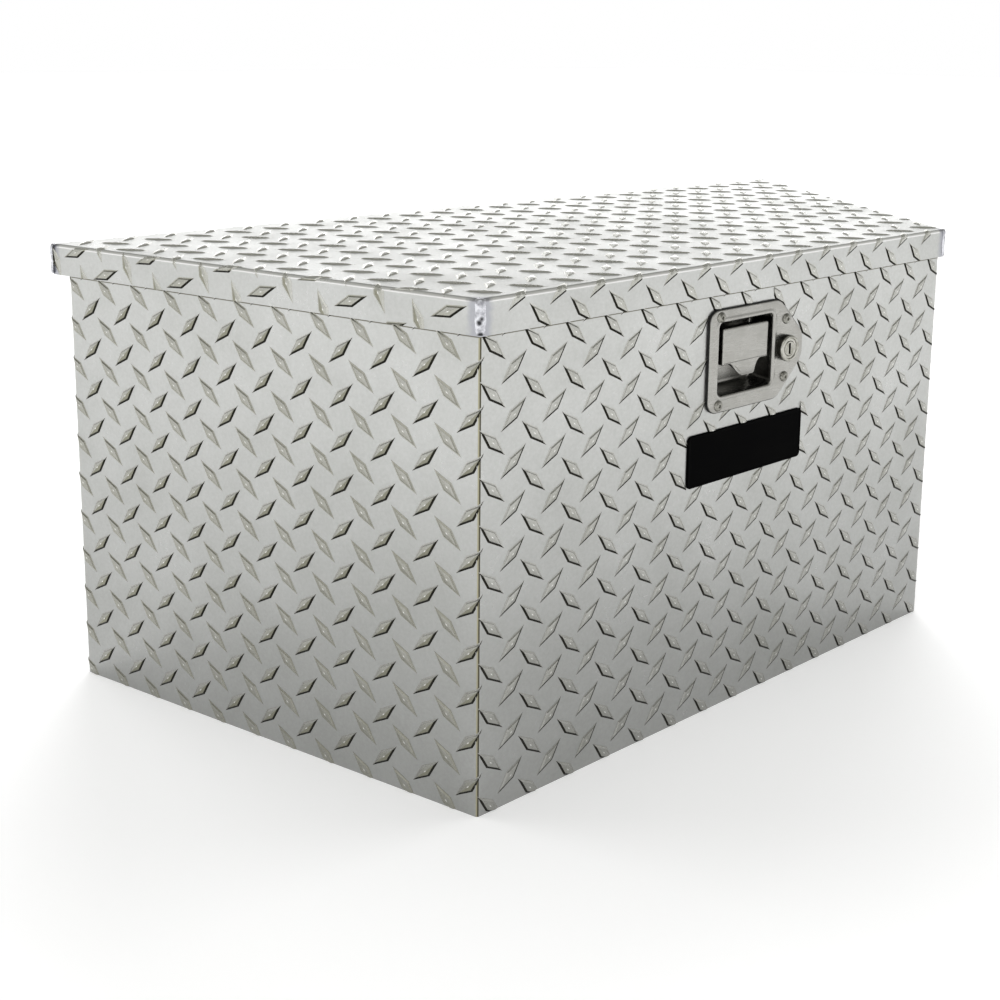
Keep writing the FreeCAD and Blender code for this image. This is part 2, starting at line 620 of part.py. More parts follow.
def latch_plate():
    """The pressed latch plate with its cup."""
    body = new_body("latch_plate")
    add(body, "plate", "XZ_Plane", PLATE_FACE, PLATE_FACE + S.plate_sheet, plate_outline(dim(0)))
    wall = S.cup_wall
    add(body, "cup", "XZ_Plane", PLATE_FACE, CUP_BACK + wall,
        rounded(CUP_LEFT - wall, CUP_SILL - wall, CUP_RIGHT + wall, CUP_CEILING + wall,
                S.cup_corner_r + wall))
    remove(body, "hollow", "XZ_Plane", PLATE_FACE - 1, CUP_BACK,
           rounded(CUP_LEFT, CUP_SILL, CUP_RIGHT, CUP_CEILING, S.cup_corner_r))
    holes = [circle(across, up, S.rivet_hole_r) for across, up in latch_rivet_places()]
    remove(body, "plate_holes", "XZ_Plane", PLATE_FACE - 1, PLATE_FACE + S.plate_sheet + 1,
           circle(LOCK_X, PLATE_MID, S.lock_body_r + 0.1), *holes)
    remove(body, "bolt_hole", "XZ_Plane", CUP_BACK - 1, CUP_BACK + wall + 1,
           circle(CUP_X, BOLT_Z, S.neck_r + 0.5))
    remove(body, "pin_holes", "YZ_Plane", CUP_LEFT - wall - 1, CUP_RIGHT + wall + 1,
           circle(PIVOT_Y, PIVOT_Z, S.pin_bore_r))
    return body


def latch_gasket():
    """The rubber gasket between the latch plate and the wall."""
    body = new_body("latch_gasket")
    clear = S.cup_wall + 0.4
    holes = [circle(across, up, S.rivet_hole_r) for across, up in latch_rivet_places()]
    add(body, "sheet", "XZ_Plane", FRONT - S.gasket, FRONT, plate_outline(dim(0.8)),
        rounded(CUP_LEFT - clear, CUP_SILL - clear, CUP_RIGHT + clear, CUP_CEILING + clear,
                S.cup_corner_r + clear),
        circle(LOCK_X, PLATE_MID, S.lock_body_r + 0.2), *holes)
    return body


def latch_rivets():
    """The four rivets that hold the latch plate."""
    profile = rivet_profile(S.latch_rivet_head_r, S.latch_rivet_rise, S.plate_sheet + S.gasket + S.sheet)
    places = [(across, up) for across, up in latch_rivet_places()]
    body = turned("latch_rivets", profile, places)
    stand(body, 0, PLATE_FACE, 0, *OUT_FRONT)
    return body


def paddle():
    """The paddle: a face plate with a finger tongue, two ears on the pin and two hooks for the bolt."""
    body = new_body("paddle")
    face = PLATE_FACE
    behind = face + S.paddle_sheet
    top = CUP_CEILING - S.paddle_gap
    low = top - S.paddle_side
    tip = low - S.tongue_drop
    left = CUP_X - S.paddle_half
    right = CUP_X + S.paddle_half
    add(body, "face_plate", "XZ_Plane", face, behind,
        [(left, top), (left, low), (CUP_X - S.tongue_root, low, -S.tongue_r), (CUP_X - S.tongue_tip, tip),
         (CUP_X + S.tongue_tip, tip, -S.tongue_r), (CUP_X + S.tongue_root, low), (right, low),
         (right, top)])
    add(body, "tongue_lip", "XZ_Plane", face - S.lip_out, behind,
        rectangle(CUP_X - S.tongue_tip, tip, CUP_X + S.tongue_tip, tip + S.paddle_sheet))
    ear_low = PIVOT_Z - S.ear_low
    ears = []
    for edge in (left, right - S.paddle_sheet):
        ears.append(rectangle(edge, ear_low, edge + S.paddle_sheet, top))
    add(body, "ears", "XZ_Plane", face, PIVOT_Y + S.ear_back, *ears)
    add(body, "top_fold", "XZ_Plane", face, PIVOT_Y - 3, rectangle(left, top - S.paddle_sheet, right, top))
    remove(body, "pin_bores", "YZ_Plane", left - 1, right + 1, circle(PIVOT_Y, PIVOT_Z, S.pin_bore_r + 0.03))
    hook_front = face + S.collar_front + S.collar_thick + S.hook_gap
    hook_back = hook_front + S.hook_thick
    hooks = []
    for side in (-1, 1):
        outer = CUP_X + S.hook_reach * side
        bend = CUP_X + (S.hook_reach - S.hook_thick) * side
        tip_x = CUP_X + (S.neck_r + 1) * side
        hooks.append([(outer, face), (outer, hook_back), (tip_x, hook_back), (tip_x, hook_front),
                      (bend, hook_front), (bend, face)])
    add(body, "hooks", "XY_Plane", BOLT_Z - S.hook_half, BOLT_Z + S.hook_half, *hooks)
    return body


def paddle_pin():
    """The pin across the cup, peened over outside both walls."""
    reach = S.cup_width / 2 + S.cup_wall
    head = S.pin_r + 1
    profile = [(0, -(reach + 1)), (head, -(reach + 1)), (head, -reach), (S.pin_r, -reach),
               (S.pin_r, reach), (head, reach), (head, reach + 1), (0, reach + 1)]
    body = turned("paddle_pin", profile)
    stand(body, CUP_X, PIVOT_Y, PIVOT_Z, FreeCAD.Vector(0, 1, 0), 90.0)
    return body


def coil(name, radius, wire, length, turns):
    """A coil spring along local Z."""
    body = new_body(name)
    sketch = new_sketch(body, name + "_wire", "XZ_Plane", [circle(radius, 0, wire)], 0)
    feature = body.newObject("PartDesign::AdditiveHelix", name + "_helix")
    feature.Profile = sketch
    feature.ReferenceAxis = (sketch, ["V_Axis"])
    feature.Mode = "height-turns-angle"
    feature.Height = dim(length).value
    feature.Turns = dim(turns).value
    doc.recompute()
    return body


def slam_bolt():
    """The bolt: a collar for the paddle's hooks, a neck through the cup and a bevelled nose."""
    origin = PLATE_FACE
    collar = S.collar_front
    bevel = Dim(4.0)
    profile = [(0, collar - 1), (S.neck_r, collar - 1), (S.neck_r, collar), (S.collar_r, collar),
               (S.collar_r, collar + S.collar_thick), (S.neck_r, collar + S.collar_thick),
               (S.neck_r, S.nose_back), (S.nose_bolt_r, S.nose_back),
               (S.nose_bolt_r, S.nose_tip - bevel), (S.nose_bolt_r - bevel, S.nose_tip), (0, S.nose_tip)]
    body = turned("slam_bolt", profile)
    stand(body, CUP_X, origin, BOLT_Z, *OUT_BACK)
    return body


def bolt_spring():
    """The coil spring that drives the bolt out and brings the paddle home."""
    start = S.cup_depth + S.cup_wall + S.spring_wire + 0.3
    body = coil("bolt_spring", S.spring_r, S.spring_wire, S.nose_back - start - S.spring_wire - 0.3,
                S.spring_turns)
    stand(body, CUP_X, PLATE_FACE + start, BOLT_Z, *OUT_BACK)
    return body


def bolt_guide():
    """The bridge behind the cup that guides the bolt's nose."""
    body = new_body("bolt_guide")
    near = CUP_BACK + S.cup_wall
    far = PLATE_FACE + S.guide_back
    half = S.guide_half
    foot = S.guide_foot
    thick = S.guide_sheet
    profile = [(CUP_X - foot, near), (CUP_X - half + thick, near), (CUP_X - half + thick, far - thick),
               (CUP_X + half - thick, far - thick), (CUP_X + half - thick, near), (CUP_X + foot, near),
               (CUP_X + foot, near + thick), (CUP_X + half, near + thick), (CUP_X + half, far),
               (CUP_X - half, far), (CUP_X - half, near + thick), (CUP_X - foot, near + thick)]
    add(body, "bridge", "XY_Plane", BOLT_Z - S.guide_rise, BOLT_Z + S.guide_rise, profile)
    remove(body, "nose_hole", "XZ_Plane", far - thick - 1, far + 1,
           circle(CUP_X, BOLT_Z, S.nose_bolt_r + S.bolt_clear))
    return body


# ---------------------------------------------------------------- the key lock

def lock_barrel():
    """The lock's barrel: a round head on the plate and a body through the wall."""
    edge = S.lock_head_r - S.lock_face_r
    back = -(S.lock_back)
    profile = [(S.lock_bore_r, back), (S.lock_body_r, back), (S.lock_body_r, 0), (S.lock_head_r, 0),
               (S.lock_head_r, S.lock_proud - edge, edge), (S.lock_face_r, S.lock_proud),
               (S.lock_bore_r, S.lock_proud)]
    body = turned("lock_barrel", profile)
    stand(body, LOCK_X, PLATE_FACE, PLATE_MID, *OUT_FRONT)
    return body


def lock_nut():
    """The hexagon nut that clamps the barrel to the wall."""
    body = new_body("lock_nut")
    near = FRONT + S.sheet
    add(body, "nut", "XZ_Plane", near, near + S.nut_thick, hexagon(LOCK_X, PLATE_MID, S.nut_r),
        circle(LOCK_X, PLATE_MID, S.lock_body_r + 0.05))
    return body


def lock_plug():
    """The key plug, with its keyway at the front and a stem for the cam at the back."""
    body = new_body("lock_plug")
    front = PLATE_FACE - S.lock_proud
    shoulder = PLATE_FACE + S.lock_back + 0.3
    add(body, "plug", "XZ_Plane", front, shoulder, circle(LOCK_X, PLATE_MID, S.plug_r))
    add(body, "stem", "XZ_Plane", shoulder, shoulder + S.cam_thick + 4,
        circle(LOCK_X, PLATE_MID, S.stem_r))
    remove(body, "keyway", "XZ_Plane", front - 1, front + S.keyway_deep,
           rectangle(LOCK_X - S.keyway_half, PLATE_MID - S.keyway_tall,
                     LOCK_X + S.keyway_half, PLATE_MID + S.keyway_tall))
    return body


def lock_cam():
    """The cam that the plug swings from hanging down to pointing outward."""
    body = new_body("lock_cam")
    near = PLATE_FACE + S.lock_back + 0.3
    low = PLATE_MID - S.cam_reach
    add(body, "arm", "XZ_Plane", near, near + S.cam_thick,
        [(LOCK_X - S.cam_r, PLATE_MID), (LOCK_X - S.cam_r, low, S.cam_r), (LOCK_X, low - S.cam_r, S.cam_r),
         (LOCK_X + S.cam_r, low), (LOCK_X + S.cam_r, PLATE_MID, S.cam_r),
         (LOCK_X, PLATE_MID + S.cam_r, S.cam_r)],
        circle(LOCK_X, PLATE_MID, S.cam_bore_r))
    return body


def cam_nut():
    """The nut that holds the cam on the plug's stem."""
    body = new_body("cam_nut")
    near = PLATE_FACE + S.lock_back + 0.3 + S.cam_thick
    add(body, "nut", "XZ_Plane", near, near + 3, hexagon(LOCK_X, PLATE_MID, S.small_nut_r),
        circle(LOCK_X, PLATE_MID, S.cam_bore_r))
    return body


# ---------------------------------------------------------------- the gas struts

def strut_line():
    """The strut's foot, its lean from upright in degrees, its closed length and its stroke."""
    swing = math.radians(S.lid_swing.value)
    foot_y = BACK.value - S.strut_foot_in.value
    foot_z = S.strut_foot_up.value
    arm_y = -S.strut_arm.value
    arm_z = -S.strut_arm_drop.value
    open_y = arm_y * math.cos(swing) + arm_z * math.sin(swing)
    open_z = -arm_y * math.sin(swing) + arm_z * math.cos(swing)
    closed = (HINGE_Y.value + arm_y - foot_y, HINGE_Z.value + arm_z - foot_z)
    opened = (HINGE_Y.value + open_y - foot_y, HINGE_Z.value + open_z - foot_z)
    lean = math.degrees(math.atan2(-closed[0], closed[1]))
    lean_open = math.degrees(math.atan2(-opened[0], opened[1]))
    return foot_y, foot_z, lean, lean_open, math.hypot(*closed), math.hypot(*opened)


FOOT_Y, FOOT_Z, LEAN, LEAN_OPEN, LENGTH, LENGTH_OPEN = strut_line()


def strut_pieces(side, word):
    """The tube, rod and two end sockets of one strut, each turned about the strut's own axis."""
    tube_start = S.socket_tail - 3
    tube_end = dim(LENGTH) - S.cap_gap
    wall = S.tube_r - S.tube_bore_r
    tube = turned(word + "_strut_tube",
                  [(0, tube_start), (S.tube_r, tube_start), (S.tube_r, tube_end), (S.rod_bore_r, tube_end),
                   (S.rod_bore_r, tube_end - 6), (S.tube_bore_r, tube_end - 6),
                   (S.tube_bore_r, tube_start + wall), (0, tube_start + wall)])
    piston = tube_start + wall + 6
    rod_end = dim(LENGTH) - S.socket_tail + 3
    rod = turned(word + "_strut_rod",
                 [(0, piston), (S.piston_r, piston), (S.piston_r, piston + 8), (S.rod_r, piston + 8),
                  (S.rod_r, rod_end), (0, rod_end)])
    pieces = [tube, rod]
    for end, base, way in (("lower", dim(0), 1), ("upper", dim(LENGTH), -1)):
        socket = new_body("%s_strut_%s_socket" % (word, end))
        tail = (S.socket_tail - 3) * way
        low = base - S.socket_r * way
        high = base + tail
        floor_z, roof_z = (low, high) if way > 0 else (high, low)
        add(socket, "barrel", "XY_Plane", floor_z, roof_z, circle(0, 0, S.socket_r))
        pieces.append(socket)
        bore = S.ball_room
        hollow = [(0, -bore), (bore, 0), (0, bore)]
        sketch = new_sketch(socket, "ball_sketch", "XZ_Plane",
                            [[(0, base - bore, bore), (bore, base, bore), (0, base + bore)]], 0)
        groove = socket.newObject("PartDesign::Groove", "ball_room")
        groove.Profile = sketch
        groove.ReferenceAxis = (sketch, ["V_Axis"])
        groove.Angle = 360
        doc.recompute()
        mouth_low, mouth_high = (dim(0), S.socket_r + 1) if side > 0 else (-(S.socket_r + 1), dim(0))
        remove(socket, "mouth", "YZ_Plane", mouth_low, mouth_high, circle(0, base, S.socket_bore_r))
    for piece in pieces:
        stand(piece, S.strut_place * side, dim(FOOT_Y), dim(FOOT_Z), ALONG_X, LEAN)
    return pieces


def outward(side, near, far):
    """Two distances out from a strut's plane, in order along X."""
    first = S.strut_place * side + dim(near) * side
    second = S.strut_place * side + dim(far) * side
    return (first, second) if side > 0 else (second, first)


def strut_box_bracket(side, word):
    """The bracket on the back wall, with the ball stud that the strut's lower socket turns on."""
    body = new_body(word + "_strut_box_bracket")
    wall = BACK - S.sheet
    thick = S.bracket_sheet
    half = S.bracket_half
    low_x, high_x = outward(side, S.bracket_out, S.bracket_out + 26)
    add(body, "foot", "XY_Plane", dim(FOOT_Z) - half, dim(FOOT_Z) + half,
        rectangle(low_x, wall - thick, high_x, wall))
    low_x, high_x = outward(side, S.bracket_out, S.bracket_out + thick)
    add(body, "arm", "XY_Plane", dim(FOOT_Z) - half, dim(FOOT_Z) + half,
        rectangle(low_x, dim(FOOT_Y) - half, high_x, wall))
    low_x, high_x = outward(side, 0, S.bracket_out)
    add(body, "stud", "YZ_Plane", low_x, high_x, circle(dim(FOOT_Y), dim(FOOT_Z), S.stud_r))
    sketch = new_sketch(body, "ball_sketch", "XZ_Plane",
                        [[(0, dim(FOOT_Z) - S.ball_r, S.ball_r), (S.ball_r, dim(FOOT_Z), S.ball_r),
                          (0, dim(FOOT_Z) + S.ball_r)]],
                        -dim(FOOT_Y), S.strut_place * side)
    ball = body.newObject("PartDesign::Revolution", "ball")
    ball.Profile = sketch
    ball.ReferenceAxis = (sketch, ["V_Axis"])
    ball.Angle = 360
    doc.recompute()
    return body


def strut_lid_bracket(side, word):
    """The bracket under the lid; its stud stops short of the upper socket, which is left open."""
    body = new_body(word + "_strut_lid_bracket")
    thick = S.bracket_sheet
    half = S.bracket_half
    middle = HINGE_Y - S.strut_arm
    eye = HINGE_Z - S.strut_arm_drop
    low_x, high_x = outward(side, S.bracket_out, S.bracket_out + 26)
    add(body, "foot", "XY_Plane", LID_UNDER - thick, LID_UNDER,
        rectangle(low_x, middle - half, high_x, middle + half))
    low_x, high_x = outward(side, S.bracket_out, S.bracket_out + thick)
    add(body, "arm", "XY_Plane", eye - 8, LID_UNDER, rectangle(low_x, middle - half, high_x, middle + half))
    low_x, high_x = outward(side, S.socket_r + S.open_gap, S.bracket_out)
    add(body, "stud", "YZ_Plane", low_x, high_x, circle(middle, eye, S.stud_r))
    return body


# ---------------------------------------------------------------- build, test and write

def build():
    """Every sub-part, in the order that it goes together."""
    pieces = [box_wrap(), back_panel(), floor_pan(), lid_seal(), label_plate()]
    pieces += [hinge_leaf("hinge_box_leaf", False), hinge_leaf("hinge_lid_leaf", True), hinge_pin()]
    pieces += [hinge_rivets("hinge_box_rivets", False), hinge_rivets("hinge_lid_rivets", True)]
    pieces += [lid_panel(), lid_stiffener(-1, "left_lid_stiffener"), lid_stiffener(1, "right_lid_stiffener")]
    pieces += [latch_catch(), latch_plate(), latch_gasket(), latch_rivets(), paddle(), paddle_pin()]
    pieces += [slam_bolt(), bolt_spring(), bolt_guide()]
    pieces += [lock_barrel(), lock_nut(), lock_plug(), lock_cam(), cam_nut()]
    for side, word in ((-1, "left"), (1, "right")):
        pieces += strut_pieces(side, word)
        pieces += [strut_box_bracket(side, word), strut_lid_bracket(side, word)]
    return pieces


def check(pieces):
    """Stop if any object failed, or any sub-part's shape is missing or not valid."""
    doc.recompute()
    for item in doc.Objects:
        if "Invalid" in item.State or "Error" in item.State:
            raise ValueError("%s failed: %s" % (item.Label, item.State))
    for piece in pieces:
        if piece.Shape.isNull() or not piece.Shape.isValid():
            raise ValueError("%s has no valid shape" % piece.Label)


parts = build()
check(parts)
os.makedirs("parts", exist_ok=True)
for part in parts:
    part.Shape.exportStep("parts/%s.step" % part.Label)
    print("%-28s %8.1f mm3, %d solid(s)" % (part.Label, part.Shape.Volume, len(part.Shape.Solids)))
print("strut lean %.4f to %.4f degrees, length %.3f to %.3f" % (LEAN, LEAN_OPEN, LENGTH, LENGTH_OPEN))
print("%d sub-parts" % len(parts))
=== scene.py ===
"""A bright tread-plate tool box for a trailer tongue, dressed over its own solids.

The frame is that of the solids, in metres: +Z up, +X along the latch face, -Y out of the latch face.
Sizes in the classes are millimetres, as a sheet-metal shop writes them.
"""
import logging
import math
from contextlib import contextmanager
from dataclasses import dataclass, field
from enum import Enum
from typing import Callable, Iterator, Sequence

import bmesh
import bpy
from mathutils import Matrix, Vector


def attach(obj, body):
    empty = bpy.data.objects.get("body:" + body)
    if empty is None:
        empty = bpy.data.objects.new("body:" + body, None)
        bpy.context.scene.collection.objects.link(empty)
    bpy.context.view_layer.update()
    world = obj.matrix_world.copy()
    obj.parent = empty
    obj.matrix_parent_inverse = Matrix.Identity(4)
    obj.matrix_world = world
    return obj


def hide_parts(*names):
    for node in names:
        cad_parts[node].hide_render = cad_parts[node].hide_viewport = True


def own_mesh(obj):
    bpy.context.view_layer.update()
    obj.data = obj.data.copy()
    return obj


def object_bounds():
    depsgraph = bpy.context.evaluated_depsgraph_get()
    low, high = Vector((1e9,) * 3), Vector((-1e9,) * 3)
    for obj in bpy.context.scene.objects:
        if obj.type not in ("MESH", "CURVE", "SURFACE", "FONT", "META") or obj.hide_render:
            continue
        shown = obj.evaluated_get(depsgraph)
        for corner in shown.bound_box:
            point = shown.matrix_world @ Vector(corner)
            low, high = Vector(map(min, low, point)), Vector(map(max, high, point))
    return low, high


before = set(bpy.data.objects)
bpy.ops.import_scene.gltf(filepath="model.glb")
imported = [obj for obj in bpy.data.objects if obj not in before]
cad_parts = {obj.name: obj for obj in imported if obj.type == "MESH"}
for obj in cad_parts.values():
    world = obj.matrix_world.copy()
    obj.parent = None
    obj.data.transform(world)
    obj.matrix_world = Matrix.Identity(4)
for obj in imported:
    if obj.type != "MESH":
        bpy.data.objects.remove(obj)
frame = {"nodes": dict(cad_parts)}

MM = 0.001
CAD_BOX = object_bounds()
LOG = logging.getLogger("tool_box")

WALL_FACE = -189.0                            # the Y of the front wall's outer face
LID_FRONT, LID_REAR = -193.0, 199.6           # the Y of the lid's front and rear skirts
LID_OUTSET, LID_TOP = 4.0, 400.0
LID_SHADE_SPAN = (396.0, 398.5)                     # the heights on the lid between which the painted shade of its skirts gives way to the lighter top
WALL_PITCH = (38.1, 35.8)                     # of the tread on upright walls, across and up
BEND_CUTS = (-1.0, -0.33, 0.33, 1.0)          # where a lug is cut to bend, in halves of the bend's reach

Point = tuple[float, float]
Place = tuple[float, float, float]
Box = tuple[float, float, float, float]       # left, low, right and high
Colour = tuple[float, float, float, float]
Socket = bpy.types.NodeSocket
Piece = bpy.types.Object
Mapping = Callable[[float, float, float], Place]


# ---------------------------------------------------------------- colours and nodes

def linear(code: str) -> Colour:
    """Turns an sRGB hex colour to linear light.

    Args:
        code: the colour as "#RRGGBB".

    Returns:
        Its linear red, green, blue and an alpha of 1.
    """
    channels = [int(code[place:place + 2], 16) / 255 for place in (1, 3, 5)]
    red, green, blue = (value / 12.92 if value <= 0.04045 else ((value + 0.055) / 1.055) ** 2.4
                        for value in channels)
    return red, green, blue, 1.0


def add_node(tree: bpy.types.NodeTree, kind: str, inputs: dict | None = None, **settings) -> bpy.types.Node:
    """Adds one node with its settings and links.

    Args:
        tree: the node tree.
        kind: the node's type.
        inputs: for each socket's name or number, a value or the output that feeds it.
        **settings: the node's own properties.

    Returns:
        The new node.
    """
    node = tree.nodes.new(kind)
    for name, value in settings.items():
        setattr(node, name, value)
    for key, value in (inputs or {}).items():
        if isinstance(value, bpy.types.NodeSocket):
            tree.links.new(value, node.inputs[key])
        else:
            node.inputs[key].default_value = value
    return node


class Graph:
    """A node tree. Each method adds what its name says and returns the output."""

    def __init__(self, holder: bpy.types.Material | bpy.types.World) -> None:
        """Empties the node tree of a material or a world.

        Args:
            holder: the material or the world.
        """
        holder.use_nodes = True
        self.tree = holder.node_tree
        self.tree.nodes.clear()

    def add(self, kind: str, inputs: dict, output: str | int = 0, **settings) -> Socket:
        """A shader node's output, the first one if none is named."""
        return add_node(self.tree, f"ShaderNode{kind}", inputs, **settings).outputs[output]

    def span(self, value: Socket, low: float, high: float, start: float = 0.0, end: float = 1.0,
             **settings: str) -> Socket:
        """Runs from start at low to end at high, and stays there."""
        sockets = {"Value": value, "From Min": low, "From Max": high, "To Min": start, "To Max": end}
        return self.add("MapRange", sockets, **settings)

    def span_mm(self, value: Socket, low: float, high: float, start: float = 0.0, end: float = 1.0) -> Socket:
        """A span of a length in metres, with its limits in millimetres."""
        return self.span(value, low * MM, high * MM, start, end)

    def math(self, operation: str, *values: Socket | float, **settings: bool) -> Socket:
        """Arithmetic on one to three values."""
        return self.add("Math", dict(enumerate(values)), operation=operation, **settings)

    def vector(self, operation: str, first: Socket, second: Socket | Vector, gives: str = "Value") -> Socket:
        """Arithmetic on two vectors."""
        return self.add("VectorMath", {0: first, 1: second}, gives, operation=operation)

    def even(self, share: float, first: Socket, second: Socket) -> Socket:
        """A value between two others."""
        return self.add("Mix", {0: share, 2: first, 3: second})

    def blend(self, amount: Socket | float, first: Socket | str, second: Socket | str,
              kind: str = "MIX") -> Socket:
        """Mixes two colours, each an output or a hex code."""
        pair = [linear(colour) if isinstance(colour, str) else colour for colour in (first, second)]
        return self.add("Mix", {0: amount, 6: pair[0], 7: pair[1]}, 2, data_type="RGBA", blend_type=kind)


class Surface(Graph):
    """A finish's material, built up on one shader and the object coordinates in metres."""

    def __init__(self, finish: "Finish") -> None:
        """Starts the material with the finish's plain shader.

        Args:
            finish: the finish.
        """
        self.material = bpy.data.materials.new(finish.name)
        super().__init__(self.material)
        self.shader = add_node(self.tree, "ShaderNodeBsdfPrincipled", {
            "Metallic": finish.metallic, "Roughness": finish.roughness, "Base Color": linear(finish.colour)})
        add_node(self.tree, "ShaderNodeOutputMaterial", {"Surface": self.shader.outputs[0]})
        coordinates = add_node(self.tree, "ShaderNodeTexCoord").outputs
        self.place, self.normal = coordinates["Object"], coordinates["Normal"]

    def feed(self, name: str, value: Socket) -> None:
        """Links an output to one of the shader's inputs."""
        self.tree.links.new(value, self.shader.inputs[name])

    def axis(self, letter: str) -> Socket:
        """The X, Y or Z of the place."""
        return self.add("SeparateXYZ", {0: self.place}, letter)

    def attribute(self, name: str) -> Socket:
        """An attribute of the mesh."""
        return self.add("Attribute", {}, "Fac", attribute_name=name)

    def noise(self, scale: float, detail: float, **more: float | Socket) -> Socket:
        """Noise with about so many spots to the metre."""
        return self.add("TexNoise", {"Vector": self.place, "Scale": scale, "Detail": detail, **more})

    def mapped(self, **sockets: Sequence[float]) -> Socket:
        """The place, turned and stretched."""
        return self.add("Mapping", {"Vector": self.place, **sockets})

    def paint(self, amount: Socket | float, colour: Socket | str, kind: str = "MIX") -> None:
        """Lays a colour over what the shader has so far."""
        under = self.shader.inputs["Base Color"].links[0].from_socket
        self.feed("Base Color", self.blend(amount, under, colour, kind))

    def vary(self, finish: "Finish", amount: Socket) -> None:
        """Runs the finish from its main colour to its shade, and its roughness from its least to its most.

        Args:
            finish: the finish.
            amount: 0 at the main colour, 1 at the shade.
        """
        low, high = finish.roughness - finish.gloss[0], min(finish.roughness + finish.gloss[1], 1.0)
        self.feed("Base Color", self.blend(amount, finish.colour, finish.shade))
        self.feed("Roughness", self.span(amount, 0.0, 1.0, low, high))

    def gap(self, target: Sequence[float]) -> Socket:
        """How far a place is from a target or from the target's mirror image across X = 0.

        Args:
            target: an upright line's X and Y, or a point's X, Y and Z, in millimetres.

        Returns:
            The distance, in metres.
        """
        kept = {letter: self.axis(letter) for letter in "YZ"[:len(target) - 1]}
        spot = self.add("CombineXYZ", {"X": self.math("ABSOLUTE", self.axis("X")), **kept})
        return self.vector("DISTANCE", spot, Vector((*target, 0.0)[:3]) * MM)

    def bump(self, height: Socket, depth_mm: float, under: Socket | None = None,
             strength: float = 1.0) -> Socket:
        """Raises the surface by a height, over another bump if there is one.

        Args:
            height: the height, from 0 to 1.
            depth_mm: how high 1 is, in millimetres.
            under: the bump beneath it.
            strength: how much of it shows.

        Returns:
            The bumped normal.
        """
        sockets = {"Height": height, "Strength": strength, "Distance": depth_mm * MM}
        if under is not None:
            sockets["Normal"] = under
        raised = self.add("Bump", sockets)
        self.feed("Normal", raised)
        return raised


@dataclass(frozen=True)
class Finish:
    """A surface finish: its colour and gloss, and the nodes that vary them."""

    name: str
    colour: str
    shade: str
    roughness: float
    metallic: float = 1.0
    contrast: Point = (0.35, 0.65)    # the part of its noise that runs from the colour to the shade
    gloss: Point = (0.0, 0.0)         # how far its roughness goes below and above the middle

    def make(self) -> bpy.types.Material:
        """Makes the material, or returns the one already made.

        Returns:
            The material.
        """
        made = bpy.data.materials.get(self.name)
        if not made:
            surface = Surface(self)
            self.dress(surface)
            made = surface.material
        return made

    def dress(self, graph: Surface) -> None:
        """Adds the finish's own nodes to the material's graph."""
        raise NotImplementedError


@dataclass(frozen=True)
class RolledAluminium(Finish):
    """Mill-bright aluminium from an embossing roll: soft cloudiness, a fine grain and light handling marks.

    It gives the eye a pale grey, half-blurred mirror that goes white under the sky and grey over the ground.
    """

    gloss: Point = (0.03, 0.06)
    cloud_mm: float = 70.0
    grain_mm: float = 2.6        # the real grain is near 0.3 mm; drawn coarser so that it shows
    grain_share: float = 0.45
    scratch_mm: float = 34.0
    scratch_strength: float = 0.35
    scratch_width: float = 0.012    # as a share of the gap between scratches
    grain_depth_mm: float = 0.012
    wave_depth_mm: float = 0.10
    height_shade: Point | None = None    # painted shade: how far the sheet is dimmed, low down and high up
    height_shade_span: Point = (20.0, 360.0)    # the heights of low down and high up
    middle: Place = (0.0, 0.0, 0.3)    # a place inside the box, in metres
    inner_face: Point = (-0.004, -0.002)    # how far outward a face looks where inner turns to outer
    dull_inside: float | None = None    # how metallic the oxidised inner face still looks

    def scratches(self, graph: Surface) -> Socket:
        """Long faint handling marks, in every direction.

        Args:
            graph: the material's nodes.

        Returns:
            How marked a place is.
        """
        turned = graph.mapped(Rotation=(0.4, 0.7, 0.5), Scale=(1.0, 9.0, 4.0))
        sockets = {"Vector": turned, "Scale": 0.25 / (self.scratch_mm * MM)}
        edge = graph.add("TexVoronoi", sockets, feature="DISTANCE_TO_EDGE")
        return graph.span(edge, 0.0, self.scratch_width, self.scratch_strength, 0.0)

    def marks_and_painted_light(self, graph: Surface) -> None:
        """Adds the marks of use and painted light; a plain sheet has none."""

    def dress(self, graph: Surface) -> None:
        """Adds cloudiness, grain, scratches and a painted shade that dims it by height, then the marks of use
        and painted light.

        Args:
            graph: the material's nodes.
        """
        cloud = graph.noise(1 / (self.cloud_mm * MM), 4.0, Roughness=0.6)
        grain = graph.noise(1 / (self.grain_mm * MM), 2.0, Roughness=0.7)
        mottle = graph.span(graph.even(self.grain_share, cloud, grain), *self.contrast)
        graph.vary(self, graph.math("MAXIMUM", mottle, self.scratches(graph), use_clamp=True))
        # painted shade: the sheet is dimmed by height, darker low on the walls and on the lid's skirts
        if self.height_shade:
            graph.paint(1.0, graph.span_mm(graph.axis("Z"), *self.height_shade_span, *self.height_shade), "MULTIPLY")
        self.marks_and_painted_light(graph)
        if self.dull_inside:
            away = graph.vector("SUBTRACT", graph.place, Vector(self.middle), "Vector")
            outward = graph.vector("DOT_PRODUCT", away, graph.normal)
            graph.feed("Metallic", graph.span(outward, *self.inner_face, self.dull_inside, 1.0))
        graph.bump(cloud, self.wave_depth_mm, graph.bump(grain, self.grain_depth_mm))


